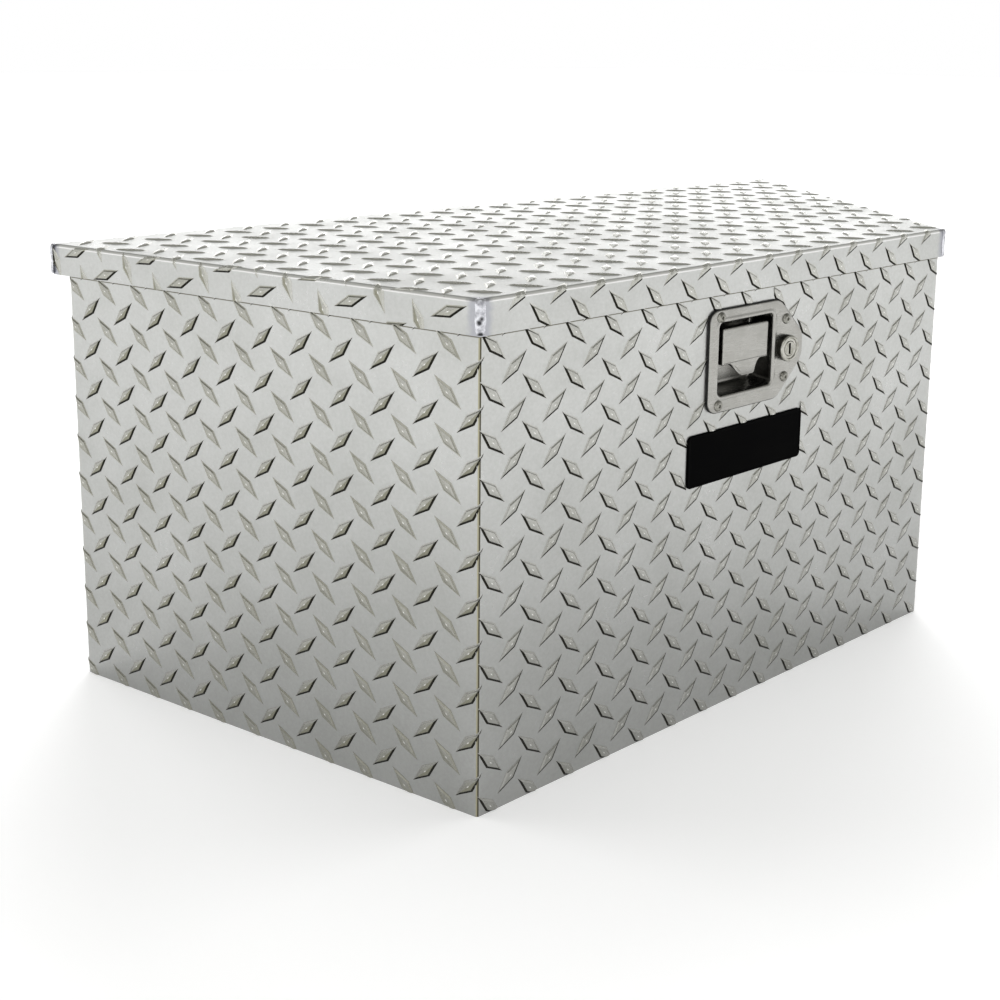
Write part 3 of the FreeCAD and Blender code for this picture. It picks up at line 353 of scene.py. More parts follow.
@dataclass(frozen=True)
class ShadedLug(RolledAluminium):
    """A tread lug: painted shade from a face attribute, and a worn-bright ridge with a painted highlight,
    from its "rise" attribute.
    """

    wave_depth_mm: float = 0.02
    thin_shade: str = "#858476"
    thick_shade: str = "#0E0D0A"
    polished: str = "#EAEAE7"
    ridge: Point = (0.92, 0.99)    # how far up the crown the worn-bright ridge with its painted highlight starts, and where it is brightest

    def marks_and_painted_light(self, graph: Surface) -> None:
        """Lays the light painted shade, then the dark one, then the worn-bright ridge with its painted
        highlight.

        Args:
            graph: the material's nodes.
        """
        # painted shade: dark under each lug and on its low flanks, lighter on its crown
        lug_shade = graph.attribute("lug_shade")
        graph.paint(graph.span(lug_shade, 0.0, 0.5), self.thin_shade)
        graph.paint(graph.span(lug_shade, 0.5, 1.0), self.thick_shade)
        # worn bright and painted highlight: the top of each lug's ridge
        graph.paint(graph.span(graph.attribute("rise"), *self.ridge), self.polished)


@dataclass(frozen=True)
class BentSheet(RolledAluminium):
    """The wrap's sheet, with painted shade: a dark-and-pale band on the tight front bends, and a dark line
    under the lid's skirt.
    """

    bend_line: Point = (277.0, WALL_FACE)
    bend_shade: tuple[str, str] = ("#474436", "#A29E88")    # painted shade and reflection on a front bend: dark on its front half, pale on its side half
    bend_shade_reach: Point = (1.25, 1.65)    # how far from the bend's line the painted shade fades
    bend_shade_turn: Point = (0.45, 0.85)     # how far behind it one side gives way to the other
    skirt_shadow: tuple[Point, Point] = ((370.7, 371.2), (372.5, 373.4))    # the heights of the two edges of the painted shadow under the lid's skirt
    skirt_shadow_above: float = 0.12              # how much of it goes on above
    skirt_shadow_colour: str = "#6A685E"

    def marks_and_painted_light(self, graph: Surface) -> None:
        """Lays the painted shade on the front bends and the painted shadow under the lid's skirt.

        Args:
            graph: the material's nodes.
        """
        # painted shade and reflection: the bend's band is dark towards the front and pale towards the side
        turn = [self.bend_line[1] + behind for behind in self.bend_shade_turn]
        skin = graph.blend(graph.span_mm(graph.axis("Y"), *turn), *self.bend_shade)
        graph.paint(graph.span_mm(graph.gap(self.bend_line), *self.bend_shade_reach, 1.0, 0.0), skin)
        # painted shadow: a dark line on the wall just under the lid's skirt
        height, (start, fade) = graph.axis("Z"), self.skirt_shadow
        above = graph.span_mm(height, *fade, 1.0, self.skirt_shadow_above)
        graph.paint(graph.math("MULTIPLY", graph.span_mm(height, *start), above), self.skirt_shadow_colour)


@dataclass(frozen=True)
class LidSheet(RolledAluminium):
    """The lid's sheet: a painted highlight along its top bends, and its corners ground beside the welds."""

    bend: tuple[Point, Point] = ((397.0, 397.4), (399.3, 399.7))    # the heights of the two edges of the painted highlight
    bend_highlight: str = "#F0F0EE"
    weld_lines: tuple[Point, ...] = ((279.55, LID_FRONT), (462.3, LID_REAR))
    heat: Point = (11.5, 16.5)    # how far from a weld the ground halo starts to fade, and ends
    heat_share: float = 0.9
    ragged_mm: float = 9.0
    heated: str = "#A3A4AA"

    def marks_and_painted_light(self, graph: Surface) -> None:
        """Lays the painted highlight on the top bends and a ragged halo round each weld.

        Args:
            graph: the material's nodes.
        """
        # painted highlight: a pale band along the lid's top bends
        height, (foot, head) = graph.axis("Z"), self.bend
        highlight_mask = graph.math("MULTIPLY", graph.span_mm(height, *foot), graph.span_mm(height, *head, 1.0, 0.0))
        graph.paint(highlight_mask, self.bend_highlight)
        for line in self.weld_lines:
            edge = graph.math("MULTIPLY_ADD", graph.noise(180.0, 4.0), self.ragged_mm * MM, graph.gap(line))
            graph.paint(graph.span_mm(edge, *self.heat, self.heat_share, 0.0), self.heated)


@dataclass(frozen=True)
class Brushed(Finish):
    """Stainless or plated sheet brushed one way: hairlines that stretch its highlights across them."""

    contrast: Point = (0.32, 0.68)
    gloss: Point = (0.05, 0.08)
    line_mm: float = 0.9         # real hairlines are near 0.1 mm; drawn coarser so that they show
    along: Place = (0.03, 1.0, 1.0)
    depth_mm: float = 0.006
    smear_share: float = 0.4
    deep: tuple[Point, Point] | None = None    # painted shade inside a pressing: the Y of its edges at the mouth and at the bottom
    shade_colour: str = "#0E0D09"
    sill_heights: Point = (0.0, 1.0)    # the heights below which the painted shade thins on a pressing's sill
    thick: float = 0.84
    left_deep: float = 0.2       # how much of the painted shade is left at the bottom of the pressing
    shade_left_on_sill: float = 0.3      # and on its sill

    def dress(self, graph: Surface) -> None:
        """Adds the hairlines, a slow change of tone, finger marks and the painted shade inside a pressing.

        Args:
            graph: the material's nodes.
        """
        hair = graph.noise(1 / (self.line_mm * MM), 3.0, Vector=graph.mapped(Scale=self.along))
        smear = graph.noise(60.0, 3.0, Distortion=0.6)
        graph.vary(self, graph.span(graph.even(self.smear_share, hair, smear), *self.contrast))
        if self.deep:
            # painted shade: the pressing goes near black inside, less so at its bottom and on its sill
            depth, (mouth, bottom) = graph.axis("Y"), self.deep
            inside = graph.math("MULTIPLY", graph.span_mm(depth, *mouth, 0.0, self.thick),
                                graph.span_mm(depth, *bottom, 1.0, self.left_deep))
            left = graph.span_mm(graph.axis("Z"), *self.sill_heights, self.shade_left_on_sill, 1.0)
            graph.paint(graph.math("MULTIPLY", inside, left), self.shade_colour)
        graph.bump(hair, self.depth_mm)


@dataclass(frozen=True)
class Plated(Finish):
    """Chrome, zinc or bare turned metal: a clean mirror with faint smudges and a tinted bloom."""

    contrast: Point = (0.38, 0.66)
    gloss: Point = (0.0, 0.10)
    smudge_mm: float = 9.0
    pit_mm: float = 0.8
    pit_depth_mm: float = 0.004
    foot: Point | None = None    # the Y where painted shade begins, and where it is dark
    shade_colour: str = "#14130F"
    thick: float = 0.93

    def dress(self, graph: Surface) -> None:
        """Adds smudges, painted shade at its foot and a fine unevenness of the coat.

        Args:
            graph: the material's nodes.
        """
        smudge = graph.noise(1 / (self.smudge_mm * MM), 5.0, Distortion=0.4)
        graph.vary(self, graph.span(smudge, *self.contrast))
        if self.foot:
            # painted shade: dark towards the foot, where the barrel meets the plate, and inside the keyway
            graph.paint(graph.span_mm(graph.axis("Y"), *self.foot, 0.0, self.thick), self.shade_colour)
        graph.bump(graph.noise(1 / (self.pit_mm * MM), 2.0), self.pit_depth_mm)


@dataclass(frozen=True)
class Coated(Finish):
    """Paint, vinyl, rubber or moulded plastic: a dull or glossy skin over a fine grain, dusty in patches."""

    metallic: float = 0.0
    contrast: Point = (0.40, 0.75)
    gloss: Point = (0.0, 0.15)
    grain_mm: float = 1.2
    grain_depth_mm: float = 0.02
    cells: bool = False
    sheen_level: float = 0.5

    def dress(self, graph: Surface) -> None:
        """Adds the skin's grain, as noise or as open cells, and a film of dust.

        Args:
            graph: the material's nodes.
        """
        graph.shader.inputs["Specular IOR Level"].default_value = self.sheen_level
        scale = 1 / (self.grain_mm * MM)
        if self.cells:
            grain = graph.add("TexVoronoi", {"Vector": graph.place, "Scale": scale})
        else:
            grain = graph.noise(scale, 3.0)
        graph.vary(self, graph.span(graph.noise(45.0, 6.0, Roughness=0.65), *self.contrast))
        graph.bump(grain, self.grain_depth_mm)


@dataclass(frozen=True)
class WeldMetal(Finish):
    """A ground TIG bead on aluminium: bright ripples, a smoky halo and small dark pits."""

    contrast: Point = (0.42, 0.72)
    gloss: Point = (0.0, 0.25)
    ripple_mm: float = 3.2
    ripple_depth_mm: float = 0.25
    pits: tuple[tuple[float, float, float, float], ...] = (
        (279.0, -194.1, 385.8, 1.7), (280.6, -193.1, 383.2, 2.0), (462.5, 200.2, 385.0, 2.0),
        (279.9, -193.6, 374.2, 2.4))    # each with its radius
    pit_edge_mm: float = 1.8
    pit_share: float = 0.95
    ragged_mm: float = 2.0
    burnt: str = "#131316"

    def dress(self, graph: Surface) -> None:
        """Adds the ripples along the seam, the soot and the pits.

        Args:
            graph: the material's nodes.
        """
        ripple = graph.add("TexWave", {
            "Vector": graph.place, "Scale": 0.05 / (self.ripple_mm * MM), "Distortion": 3.0, "Detail": 2.0,
            "Detail Scale": 2.0}, bands_direction="Z")
        soot = graph.noise(240.0, 5.0)
        graph.vary(self, graph.span(soot, *self.contrast))
        for *middle, radius in self.pits:
            edge = graph.math("MULTIPLY_ADD", soot, self.ragged_mm * MM, graph.gap(middle))
            burnt = graph.span_mm(edge, radius, radius + self.pit_edge_mm, self.pit_share, 0.0)
            graph.paint(burnt, self.burnt)
        graph.bump(ripple, self.ripple_depth_mm, strength=0.8)


BRIGHT = ("#CFD0CE", "#C3C4C1", 0.30)
# painted shade: upright walls dimmed to 0.60 low down and to 0.84 high up
WALL_SHADE = (0.60, 0.84)
BRUSHED_LINES = {"line_mm": 0.5, "depth_mm": 0.003}

TREAD = RolledAluminium("mill_bright_tread_sheet", *BRIGHT)
BENT_TREAD = BentSheet("mill_bright_tread_sheet_bent", *BRIGHT, height_shade=WALL_SHADE, dull_inside=0.4)
WELDED_TREAD = LidSheet("mill_bright_tread_sheet_ground_at_welds", *BRIGHT, height_shade=(0.83, 0.94),
                        height_shade_span=LID_SHADE_SPAN, dull_inside=0.55)
FLAT_TREAD = RolledAluminium("mill_bright_tread_sheet_upright", *BRIGHT, height_shade=WALL_SHADE, dull_inside=0.4)
LUG = ShadedLug("mill_bright_tread_lug", "#CACAC5", "#B8B8B0", 0.24, height_shade=(0.85, 1.0), height_shade_span=LID_SHADE_SPAN)
WALL_LUG = ShadedLug("mill_bright_tread_lug_upright", "#C6C6C2", "#B3B3AC", 0.24, height_shade=WALL_SHADE)
PLAIN = RolledAluminium("mill_plain_sheet", "#C6C7C6", "#B4B5B3", 0.38, metallic=0.6)
STAINLESS = Brushed("brushed_stainless_sheet", "#BEBEB9", "#ABABA5", 0.27, **BRUSHED_LINES)
CUPPED = Brushed("brushed_stainless_pressing", "#A8A7A3", "#969590", 0.27, **BRUSHED_LINES,
                 deep=((-191.4, -188.5), (-172.0, -168.5)), sill_heights=(287.0, 291.0))
HINGE = Brushed("rolled_stainless_hinge", "#BDBDB9", "#A3A29D", 0.30, along=(0.06, 1.0, 1.0))
CHROME = Plated("polished_chrome_plate", "#DDDCD8", "#C4C2BC", 0.07)
# painted reflection: a darker copy of the chrome for the lock, with painted shade at its foot
LOCK_CHROME = Plated("lock_chrome_painted_dark", "#B0AFA8", "#8E8D84", 0.12, smudge_mm=5.0,
                     foot=(-196.2, -195.2))
ZINC = Plated("clear_zinc_plate", "#BCC0C2", "#A09E8C", 0.26, smudge_mm=14.0)
SPRING = Plated("drawn_spring_wire", "#A7A8A8", "#85837C", 0.22, smudge_mm=3.0)
RIVET = Plated("aluminium_rivet_head", "#C3C3BD", "#A2A19A", 0.24, smudge_mm=4.0)
DULL_RIVET = Plated("weathered_rivet_head", "#96958E", "#6C6B64", 0.22, smudge_mm=2.5)
ROD = Plated("hard_chrome_rod", "#D6D7D8", "#BFC1C2", 0.05, smudge_mm=30.0)
RUBBER = Coated("foam_rubber_strip", "#1E1E1D", "#2B2B29", 0.82, cells=True, grain_mm=0.9)
GASKET = Coated("black_neoprene_gasket", "#0E0E0E", "#1A1A19", 0.70)
VINYL = Coated("black_vinyl_plate", "#020202", "#040405", 0.55, grain_mm=0.7, grain_depth_mm=0.004,
               sheen_level=0.015)
PAINT = Coated("black_strut_paint", "#121214", "#1D1D1E", 0.22, grain_mm=2.5, grain_depth_mm=0.006)
PLASTIC = Coated("moulded_nylon_socket", "#19191A", "#252524", 0.48, grain_mm=0.6)
WELD = WeldMetal("ground_weld_bead", "#D4D5DA", "#86868C", 0.20)


# ---------------------------------------------------------------- modelling by hand, in code

def clear_selection() -> None:
    """Leaves edit mode and deselects every object."""
    if bpy.context.object and bpy.context.object.mode != "OBJECT":
        bpy.ops.object.mode_set(mode="OBJECT")
    bpy.ops.object.select_all(action="DESELECT")


def take(*things: Piece) -> None:
    """Selects these objects alone and makes the last one active.

    Args:
        *things: the objects.
    """
    clear_selection()
    for thing in things:
        thing.select_set(True)
    bpy.context.view_layer.objects.active = things[-1]


@contextmanager
def editing(thing: Piece, select: str = "VERT") -> Iterator[bmesh.types.BMesh]:
    """Edit mode on one object, with everything deselected.

    Args:
        thing: the object.
        select: the select mode, VERT, EDGE or FACE.

    Yields:
        The edit mesh.
    """
    take(thing)
    bpy.ops.object.mode_set(mode="EDIT")
    bpy.ops.mesh.select_mode(type=select)
    bpy.ops.mesh.select_all(action="DESELECT")
    yield bmesh.from_edit_mesh(thing.data)
    bpy.ops.object.mode_set(mode="OBJECT")


def settle(thing: Piece) -> Piece:
    """Puts the object's place, turn and size into its mesh.

    Args:
        thing: the object.

    Returns:
        The same object.
    """
    take(thing)
    bpy.ops.object.transform_apply(location=True, rotation=True, scale=True)
    return thing


def modify(thing: Piece, kind: str, **settings) -> Piece:
    """Adds a modifier and applies it.

    Args:
        thing: the object.
        kind: the modifier's type.
        **settings: the modifier's properties.

    Returns:
        The same object.
    """
    take(thing)
    modifier = thing.modifiers.new(kind.lower(), kind)
    for name, value in settings.items():
        setattr(modifier, name, value)
    bpy.ops.object.modifier_apply(modifier=modifier.name)
    return thing


def shade(thing: Piece, degrees: float) -> Piece:
    """Shades smooth across edges flatter than the angle.

    Args:
        thing: the object.
        degrees: the angle.

    Returns:
        The same object.
    """
    take(thing)
    bpy.ops.object.shade_smooth_by_angle(angle=math.radians(degrees))
    return thing


def join(name: str, things: Sequence[Piece]) -> Piece:
    """Joins the objects into one, under the name.

    Args:
        name: the name.
        things: the objects.

    Returns:
        The one object.
    """
    take(*things)
    bpy.ops.object.join()
    whole = bpy.context.object
    whole.name = whole.data.name = name
    return whole


def right_way_round(thing: Piece) -> Piece:
    """Merges doubles and turns every face outwards.

    Args:
        thing: the object.

    Returns:
        The same object.
    """
    with editing(thing):
        bpy.ops.mesh.select_all(action="SELECT")
        bpy.ops.mesh.remove_doubles(threshold=1e-6)
        bpy.ops.mesh.normals_make_consistent(inside=False)
    return thing


def copy_of(thing: Piece, matrix: Matrix) -> Piece:
    """A copy with its own mesh, at the matrix.

    Args:
        thing: the object.
        matrix: the matrix.

    Returns:
        The copy.
    """
    take(thing)
    bpy.ops.object.duplicate(linked=False)
    twin = bpy.context.object
    twin.matrix_world = matrix @ twin.matrix_world
    return settle(twin)


def loft(name: str, rings: Sequence[Sequence[Vector]], start: bool = False, end: bool = True) -> Piece:
    """Extrudes a loop of edges from ring to ring.

    Args:
        name: the piece's name.
        rings: rings of equally many points, in metres.
        start: whether the first ring is filled.
        end: whether the last ring is filled.

    Returns:
        The piece, with its faces pointing outwards.
    """
    count = len(rings[0])
    clear_selection()
    bpy.ops.mesh.primitive_circle_add(vertices=count, radius=1.0, fill_type="NOTHING")
    piece = bpy.context.object
    piece.name = piece.data.name = name
    for vertex, point in zip(piece.data.vertices, rings[0]):
        vertex.co = point
    with editing(piece) as mesh:
        bpy.ops.mesh.select_all(action="SELECT")
        mesh.verts.ensure_lookup_table()
        number = {vertex: index for index, vertex in enumerate(mesh.verts)}
        for ring in rings[1:]:
            bpy.ops.mesh.extrude_edges_move()
            fresh = {}
            for vertex in mesh.verts:
                if vertex.select:
                    source = next(edge.other_vert(vertex) for edge in vertex.link_edges
                                  if edge.other_vert(vertex) in number and not edge.other_vert(vertex).select)
                    fresh[vertex] = number[source]
            for vertex, index in fresh.items():
                vertex.co = ring[index]
            number = fresh
        if end:
            bpy.ops.mesh.edge_face_add()
        if start:
            bpy.ops.mesh.select_all(action="DESELECT")
            mesh.verts.ensure_lookup_table()
            for index in range(count):
                mesh.verts[index].select = True
            mesh.select_flush(True)
            bpy.ops.mesh.edge_face_add()
        bpy.ops.mesh.select_all(action="SELECT")
        bpy.ops.mesh.normals_make_consistent(inside=False)
    return piece


def round_corners(points: Sequence[Place], spacing: float = 1.0) -> list[Point]:
    """An outline with round corners as a closed run of points.

    Args:
        points: the sharp corners, anticlockwise, each with its radius.
        spacing: the largest gap between points.

    Returns:
        The outline's points.
    """
    outline: list[Point] = []
    count = len(points)
    for index, (across, up, radius) in enumerate(points):
        here = Vector((across, up))
        before = (Vector(points[index - 1][:2]) - here).normalized()
        after = (Vector(points[(index + 1) % count][:2]) - here).normalized()
        half = before.angle(after) / 2
        reach = radius / math.tan(half)
        centre = here + (before + after).normalized() * (radius / math.sin(half))
        first = here + before * reach - centre
        turn = math.pi - 2 * half
        way = 1 if before.cross(after) < 0 else -1
        steps = max(1, math.ceil(radius * turn / spacing))
        for step in range(steps + 1):
            angle = way * turn * step / steps
            outline.append(tuple(centre + Matrix.Rotation(angle, 2) @ first))
    filled: list[Point] = []
    for index, point in enumerate(outline):
        following = outline[(index + 1) % len(outline)]
        gap = math.dist(point, following)
        steps = max(1, math.ceil(gap / spacing))
        filled += [(point[0] + (following[0] - point[0]) * step / steps,
                    point[1] + (following[1] - point[1]) * step / steps) for step in range(steps)]
    return filled


def seen_from(outline: Sequence[Point], centre: Point, count: int) -> list[Point]:
    """Points of a star-shaped outline at even angles about a centre.

    Args:
        outline: the dense outline.
        centre: a point that sees all of it.
        count: the number of points.

    Returns:
        The points, anticlockwise from the +X side.
    """
    polar = sorted((math.atan2(up - centre[1], across - centre[0]) % math.tau, across, up)
                   for across, up in outline)
    polar = [(polar[-1][0] - math.tau, *polar[-1][1:]), *polar, (polar[0][0] + math.tau, *polar[0][1:])]
    found: list[Point] = []
    place = 0
    for step in range(count):
        angle = math.tau * step / count
        while polar[place + 1][0] < angle:
            place += 1
        (a0, x0, z0), (a1, x1, z1) = polar[place], polar[place + 1]
        part = (angle - a0) / (a1 - a0) if a1 > a0 else 0.0
        found.append((x0 + (x1 - x0) * part, z0 + (z1 - z0) * part))
    return found


def grown(outline: Sequence[Point], amount: float) -> list[Point]:
    """The outline moved outwards by the amount, point by point.

    Args:
        outline: the outline, anticlockwise.
        amount: how far, in millimetres.

    Returns:
        The moved outline.
    """
    moved: list[Point] = []
    count = len(outline)
    for index, (across, up) in enumerate(outline):
        back, forth = outline[index - 1], outline[(index + 1) % count]
        run = Vector((forth[0] - back[0], forth[1] - back[1])).normalized()
        moved.append((across + run.y * amount, up - run.x * amount))
    return moved


def facing(outline: Sequence[Point], depth: float) -> list[Vector]:
    """Outline points in millimetres as a ring in the plane Y = depth."""
    return [Vector((across * MM, depth * MM, up * MM)) for across, up in outline]


def disc(centre: Point, radius: float, count: int = 48) -> list[Point]:
    """A circle's points, anticlockwise."""
    return [(centre[0] + radius * math.cos(math.tau * step / count),
             centre[1] + radius * math.sin(math.tau * step / count)) for step in range(count)]


def rectangle(left: float, low: float, right: float, high: float, radius: float) -> list[Place]:
    """A rectangle's corners, anticlockwise, each with the radius."""
    return [(left, low, radius), (right, low, radius), (right, high, radius), (left, high, radius)]


def stepped(outline: Sequence[Point], base: float, steps: Sequence[Point]) -> list[list[Vector]]:
    """Rings of an outline: each step says how far it is grown, and how deep it is behind the base."""
    return [facing(grown(outline, out), base + depth) for out, depth in steps]


def spun(centre: Point, base: float, profile: Sequence[Point], count: int = 48) -> list[list[Vector]]:
    """Rings of a round piece, from its profile of radii and depths behind the base."""
    return [facing(disc(centre, radius, count), base + depth) for radius, depth in profile]


def face_front(faces: Sequence[bmesh.types.BMFace]) -> None:
    """Flips the mesh in edit mode if these of its faces look to the back."""
    if sum(face.normal.y for face in faces) > 0:
        bpy.ops.mesh.select_all(action="SELECT")
        bpy.ops.mesh.flip_normals()


def clamped(value: float) -> float:
    """The value, kept from 0 to 1."""
    return max(0.0, min(1.0, value))


def islands(mesh: bmesh.types.BMesh) -> list[list[bmesh.types.BMVert]]:
    """The mesh's separate lumps, each as its vertices.

    Args:
        mesh: the edit mesh.

    Returns:
        The lumps.
    """
    seen: set[bmesh.types.BMVert] = set()
    lumps = []
    for seed in mesh.verts:
        if seed in seen:
            continue
        seen.add(seed)
        lump, open_ends = [], [seed]
        while open_ends:
            vertex = open_ends.pop()
            lump.append(vertex)
            for edge in vertex.link_edges:
                other = edge.other_vert(vertex)
                if other not in seen:
                    seen.add(other)
                    open_ends.append(other)
        lumps.append(lump)
    return lumps


def centre_of(lump: Sequence[bmesh.types.BMVert]) -> Vector:
    """The middle of a lump's vertices."""
    return sum((vertex.co for vertex in lump), Vector()) / len(lump)


# ---------------------------------------------------------------- tread lugs

class Lean(Enum):
    """Which way a lug leans on its sheet."""

    RISING = 45.0
    FALLING = -45.0


@dataclass
class Lug:
    """One raised lug of the tread: a narrow rhombus with a thin foot, steep walls and a low faceted crown."""

    half_length: float = 16.4
    half_width: float = 4.9
    foot: float = 0.06
    foot_run: float = 0.8
    wall: float = 0.72
    wall_run: float = 0.85
    shoulder: float = 0.08
    shoulder_run: float = 0.3
    crown: float = 1.25
    sink: float = 0.25

    def shrink(self, run: float, start: float) -> Place:
        """The resize that moves every side in by run, on a rhombus already start inside the foot.

        Args:
            run: how far the sides move in.
            start: how far inside the foot the rhombus is.

        Returns:
            The resize's three factors.
        """
        slant = math.hypot(self.half_length, self.half_width) / self.half_length
        width = self.half_width - start * slant
        factor = (width - run * slant) / width
        return factor, factor, 1.0

    def model(self, lean: Lean) -> Piece:
        """Models one lug at the origin of its sheet.

        Args:
            lean: which way it leans.

        Returns:
            The lug, with the sheet's face in the plane Z = 0.
        """
        clear_selection()
        bpy.ops.mesh.primitive_circle_add(vertices=4, radius=self.half_length * MM, fill_type="NGON",
                                          location=(0, 0, -self.sink * MM))
        lug = settle(bpy.context.object)
        with editing(lug, "FACE"):
            bpy.ops.mesh.select_all(action="SELECT")
            bpy.ops.transform.resize(value=(1.0, self.half_width / self.half_length, 1.0))
            inside = 0.0
            for lift, run in ((self.foot + self.sink, 0.0), (0.0, self.foot_run),
                              (self.wall - self.foot, self.wall_run), (self.shoulder, self.shoulder_run)):
                bpy.ops.mesh.extrude_region_move(TRANSFORM_OT_translate={"value": (0, 0, lift * MM)})
                if run:
                    bpy.ops.transform.resize(value=self.shrink(run, inside))
                inside += run
            bpy.ops.mesh.poke(offset=(self.crown - self.wall - self.shoulder) * MM)
        lug.rotation_euler.z = math.radians(lean.value)
        settle(lug)
        cross = Matrix.Rotation(math.radians(lean.value), 3, "Z") @ Vector((0, 1, 0))
        outward = lug.data.attributes.new("outward", "FLOAT_VECTOR", "FACE")
        for face, way in zip(lug.data.polygons, outward.data):
            way.vector = cross if face.center.dot(cross) > 0 else -cross
        return lug


@dataclass
class Lattice:
    """A field of lugs on a flat sheet, before the sheet is bent."""

    name: str
    first: Point
    pitch: Point
    columns: int
    rows: int
    lug: Lug = field(default_factory=Lug)

    def field_of(self, lean: Lean, start: Point) -> Piece:
        """One lean's lugs, from the start point on.

        Args:
            lean: which way they lean.
            start: the point.

        Returns:
            The lugs.
        """
        lug = self.lug.model(lean)
        across, up = self.pitch
        for count, step in ((self.columns, (across * MM, 0, 0)), (self.rows, (0, up * MM, 0))):
            modify(lug, "ARRAY", count=count, use_relative_offset=False, use_constant_offset=True,
                   constant_offset_displace=step)
        lug.location = (start[0] * MM, start[1] * MM, 0)
        return settle(lug)

    def lay(self) -> Piece:
        """Lays both leans, the falling one half a pitch along and up from the rising one.

        Returns:
            The field of lugs, with each vertex's height above the sheet as its "rise".
        """
        half = (self.first[0] + self.pitch[0] / 2, self.first[1] + self.pitch[1] / 2)
        sheet = join(self.name, [self.field_of(Lean.RISING, self.first), self.field_of(Lean.FALLING, half)])
        rise = sheet.data.attributes.new("rise", "FLOAT", "POINT")
        for vertex, height in zip(sheet.data.vertices, rise.data):
            height.value = max(0.0, vertex.co.z / (self.lug.crown * MM))
        return sheet


@dataclass(frozen=True)
class LugShading:
    """How dark the painted shade is on each part of an upright wall's lug, from 0 to 1."""

    under: float = 0.97            # on a flank that faces down and forward
    under_back: float = 0.25       # on one that faces down and back
    back_slope: float = 0.25       # how far back it has to face for that
    above: float = 0.03            # on a flank that faces up
    above_falling: float = 0.30    # on that of a falling lug on a slanted wall
    crown: float = 0.14
    crown_rising: float = 0.50     # on the low side of a rising lug's crown
    crown_falling: float = 0.24
    straight: float = 0.15         # how much of the crown's painted shade a straight wall shows
    flank_rise: float = 0.3        # how high up a lug its flank starts

    def thickness(self, flank: bool, slope: Vector, rising: bool, slanted: bool) -> float:
        """How dark the painted shade is on one face of a lug.

        Args:
            flank: whether the face is a flank, not the crown.
            slope: which way it slopes down from the lug's ridge.
            rising: whether the lug leans as a rising one.
            slanted: whether the wall is one of the slanted ones.

        Returns:
            The darkness, from 0 to 1.
        """
        low = slope.z < 0
        if flank:
            if low:
                return self.under if slope.y < self.back_slope else self.under_back
            return self.above_falling if slanted and not rising else self.above
        share = 1.0 if slanted else self.straight
        if low:
            return share * (self.crown_rising if rising else self.crown_falling)
        return share * self.crown


def lug_shade(sheet: Piece, mapping: Mapping, lug_shading: LugShading = LugShading()) -> None:
    """Marks painted shade on the lugs of upright walls, while they still lie flat.

    It is dark under a lug, on the flanks that face down and forward, and light on its crown.

    Args:
        sheet: the flat field of lugs.
        mapping: the place of a point of the flat sheet on its wall, all in millimetres.
        lug_shading: how dark the painted shade is on each part of a lug.
    """
    rise = [value.value for value in sheet.data.attributes["rise"].data]
    outward = [way.vector.copy() for way in sheet.data.attributes["outward"].data]
    marks = sheet.data.attributes.new("lug_shade", "FLOAT", "FACE")
    run = 0.2
    for face, way, mark in zip(sheet.data.polygons, outward, marks.data):
        spot = Vector((*(face.center / MM).xy, 0.0))
        here = Vector(mapping(*spot))
        out = Vector(mapping(*(spot + Vector((0, 0, 1))))) - here
        slope = Vector(mapping(*(spot + way * run))) / run - here / run
        flank = min(rise[vertex] for vertex in face.vertices) < lug_shading.flank_rise
        upright = max(0.0, 1.0 - 1.6 * abs(out.z))
        mark.value = upright * lug_shading.thickness(flank, slope, way.x * way.y < 0, abs(out.x) > 0.5)


def select_lugs(mesh: bmesh.types.BMesh, chosen: Callable[[Vector], bool]) -> None:
    """Selects the chosen lugs of a field in edit mode.

    Args:
        mesh: the edit mesh.
        chosen: the test of a lug's centre, in millimetres.
    """
    for lump in islands(mesh):
        if chosen(centre_of(lump) / MM):
            for vertex in lump:
                vertex.select = True
    mesh.select_flush(True)


def drop(sheet: Piece, unwanted: Callable[[Vector], bool]) -> None:
    """Deletes the unwanted lugs.

    Args:
        sheet: the field of lugs.
        unwanted: the test of a lug's centre, in millimetres.
    """
    with editing(sheet) as mesh:
        select_lugs(mesh, unwanted)
        bpy.ops.mesh.delete(type="VERT")


def cut(sheet: Piece, point: Point, outward: Point, clear: bool,
        chosen: Callable[[Vector], bool] = lambda at: True) -> None:
    """Cuts lugs along a line of the flat sheet.

    Args:
        sheet: the field of lugs.
        point: a point of the line, in millimetres.
        outward: the line's outward normal.
        clear: whether what is outside goes, and the cut is closed.
        chosen: which lugs are cut, by their centre in millimetres; all of them if not given.
    """
    with editing(sheet) as mesh:
        select_lugs(mesh, chosen)
        bpy.ops.mesh.bisect(plane_co=(point[0] * MM, point[1] * MM, 0), plane_no=(*outward, 0),
                            use_fill=clear, clear_outer=clear, threshold=1e-7)


def trim(sheet: Piece, half: float, top: float, foot: float = 0.4) -> None:
    """Cuts a flat field of lugs to its sheet, half to each side and from its foot to its top."""
    sides = (((half, 0), (1, 0)), ((-half, 0), (-1, 0)), ((0, foot), (0, -1)), ((0, top), (0, 1)))
    for point, outward in sides:
        cut(sheet, point, outward, True)


def fold(sheet: Piece, mapping: Mapping) -> None:
    """Marks painted shade on the flat field of lugs and bends it over its sheet.

    Args:
        sheet: the field of lugs.
        mapping: the place of a point of the flat sheet, all in millimetres.
    """
    lug_shade(sheet, mapping)
    for vertex in sheet.data.vertices:
        vertex.co = Vector(mapping(*(vertex.co / MM))) * MM


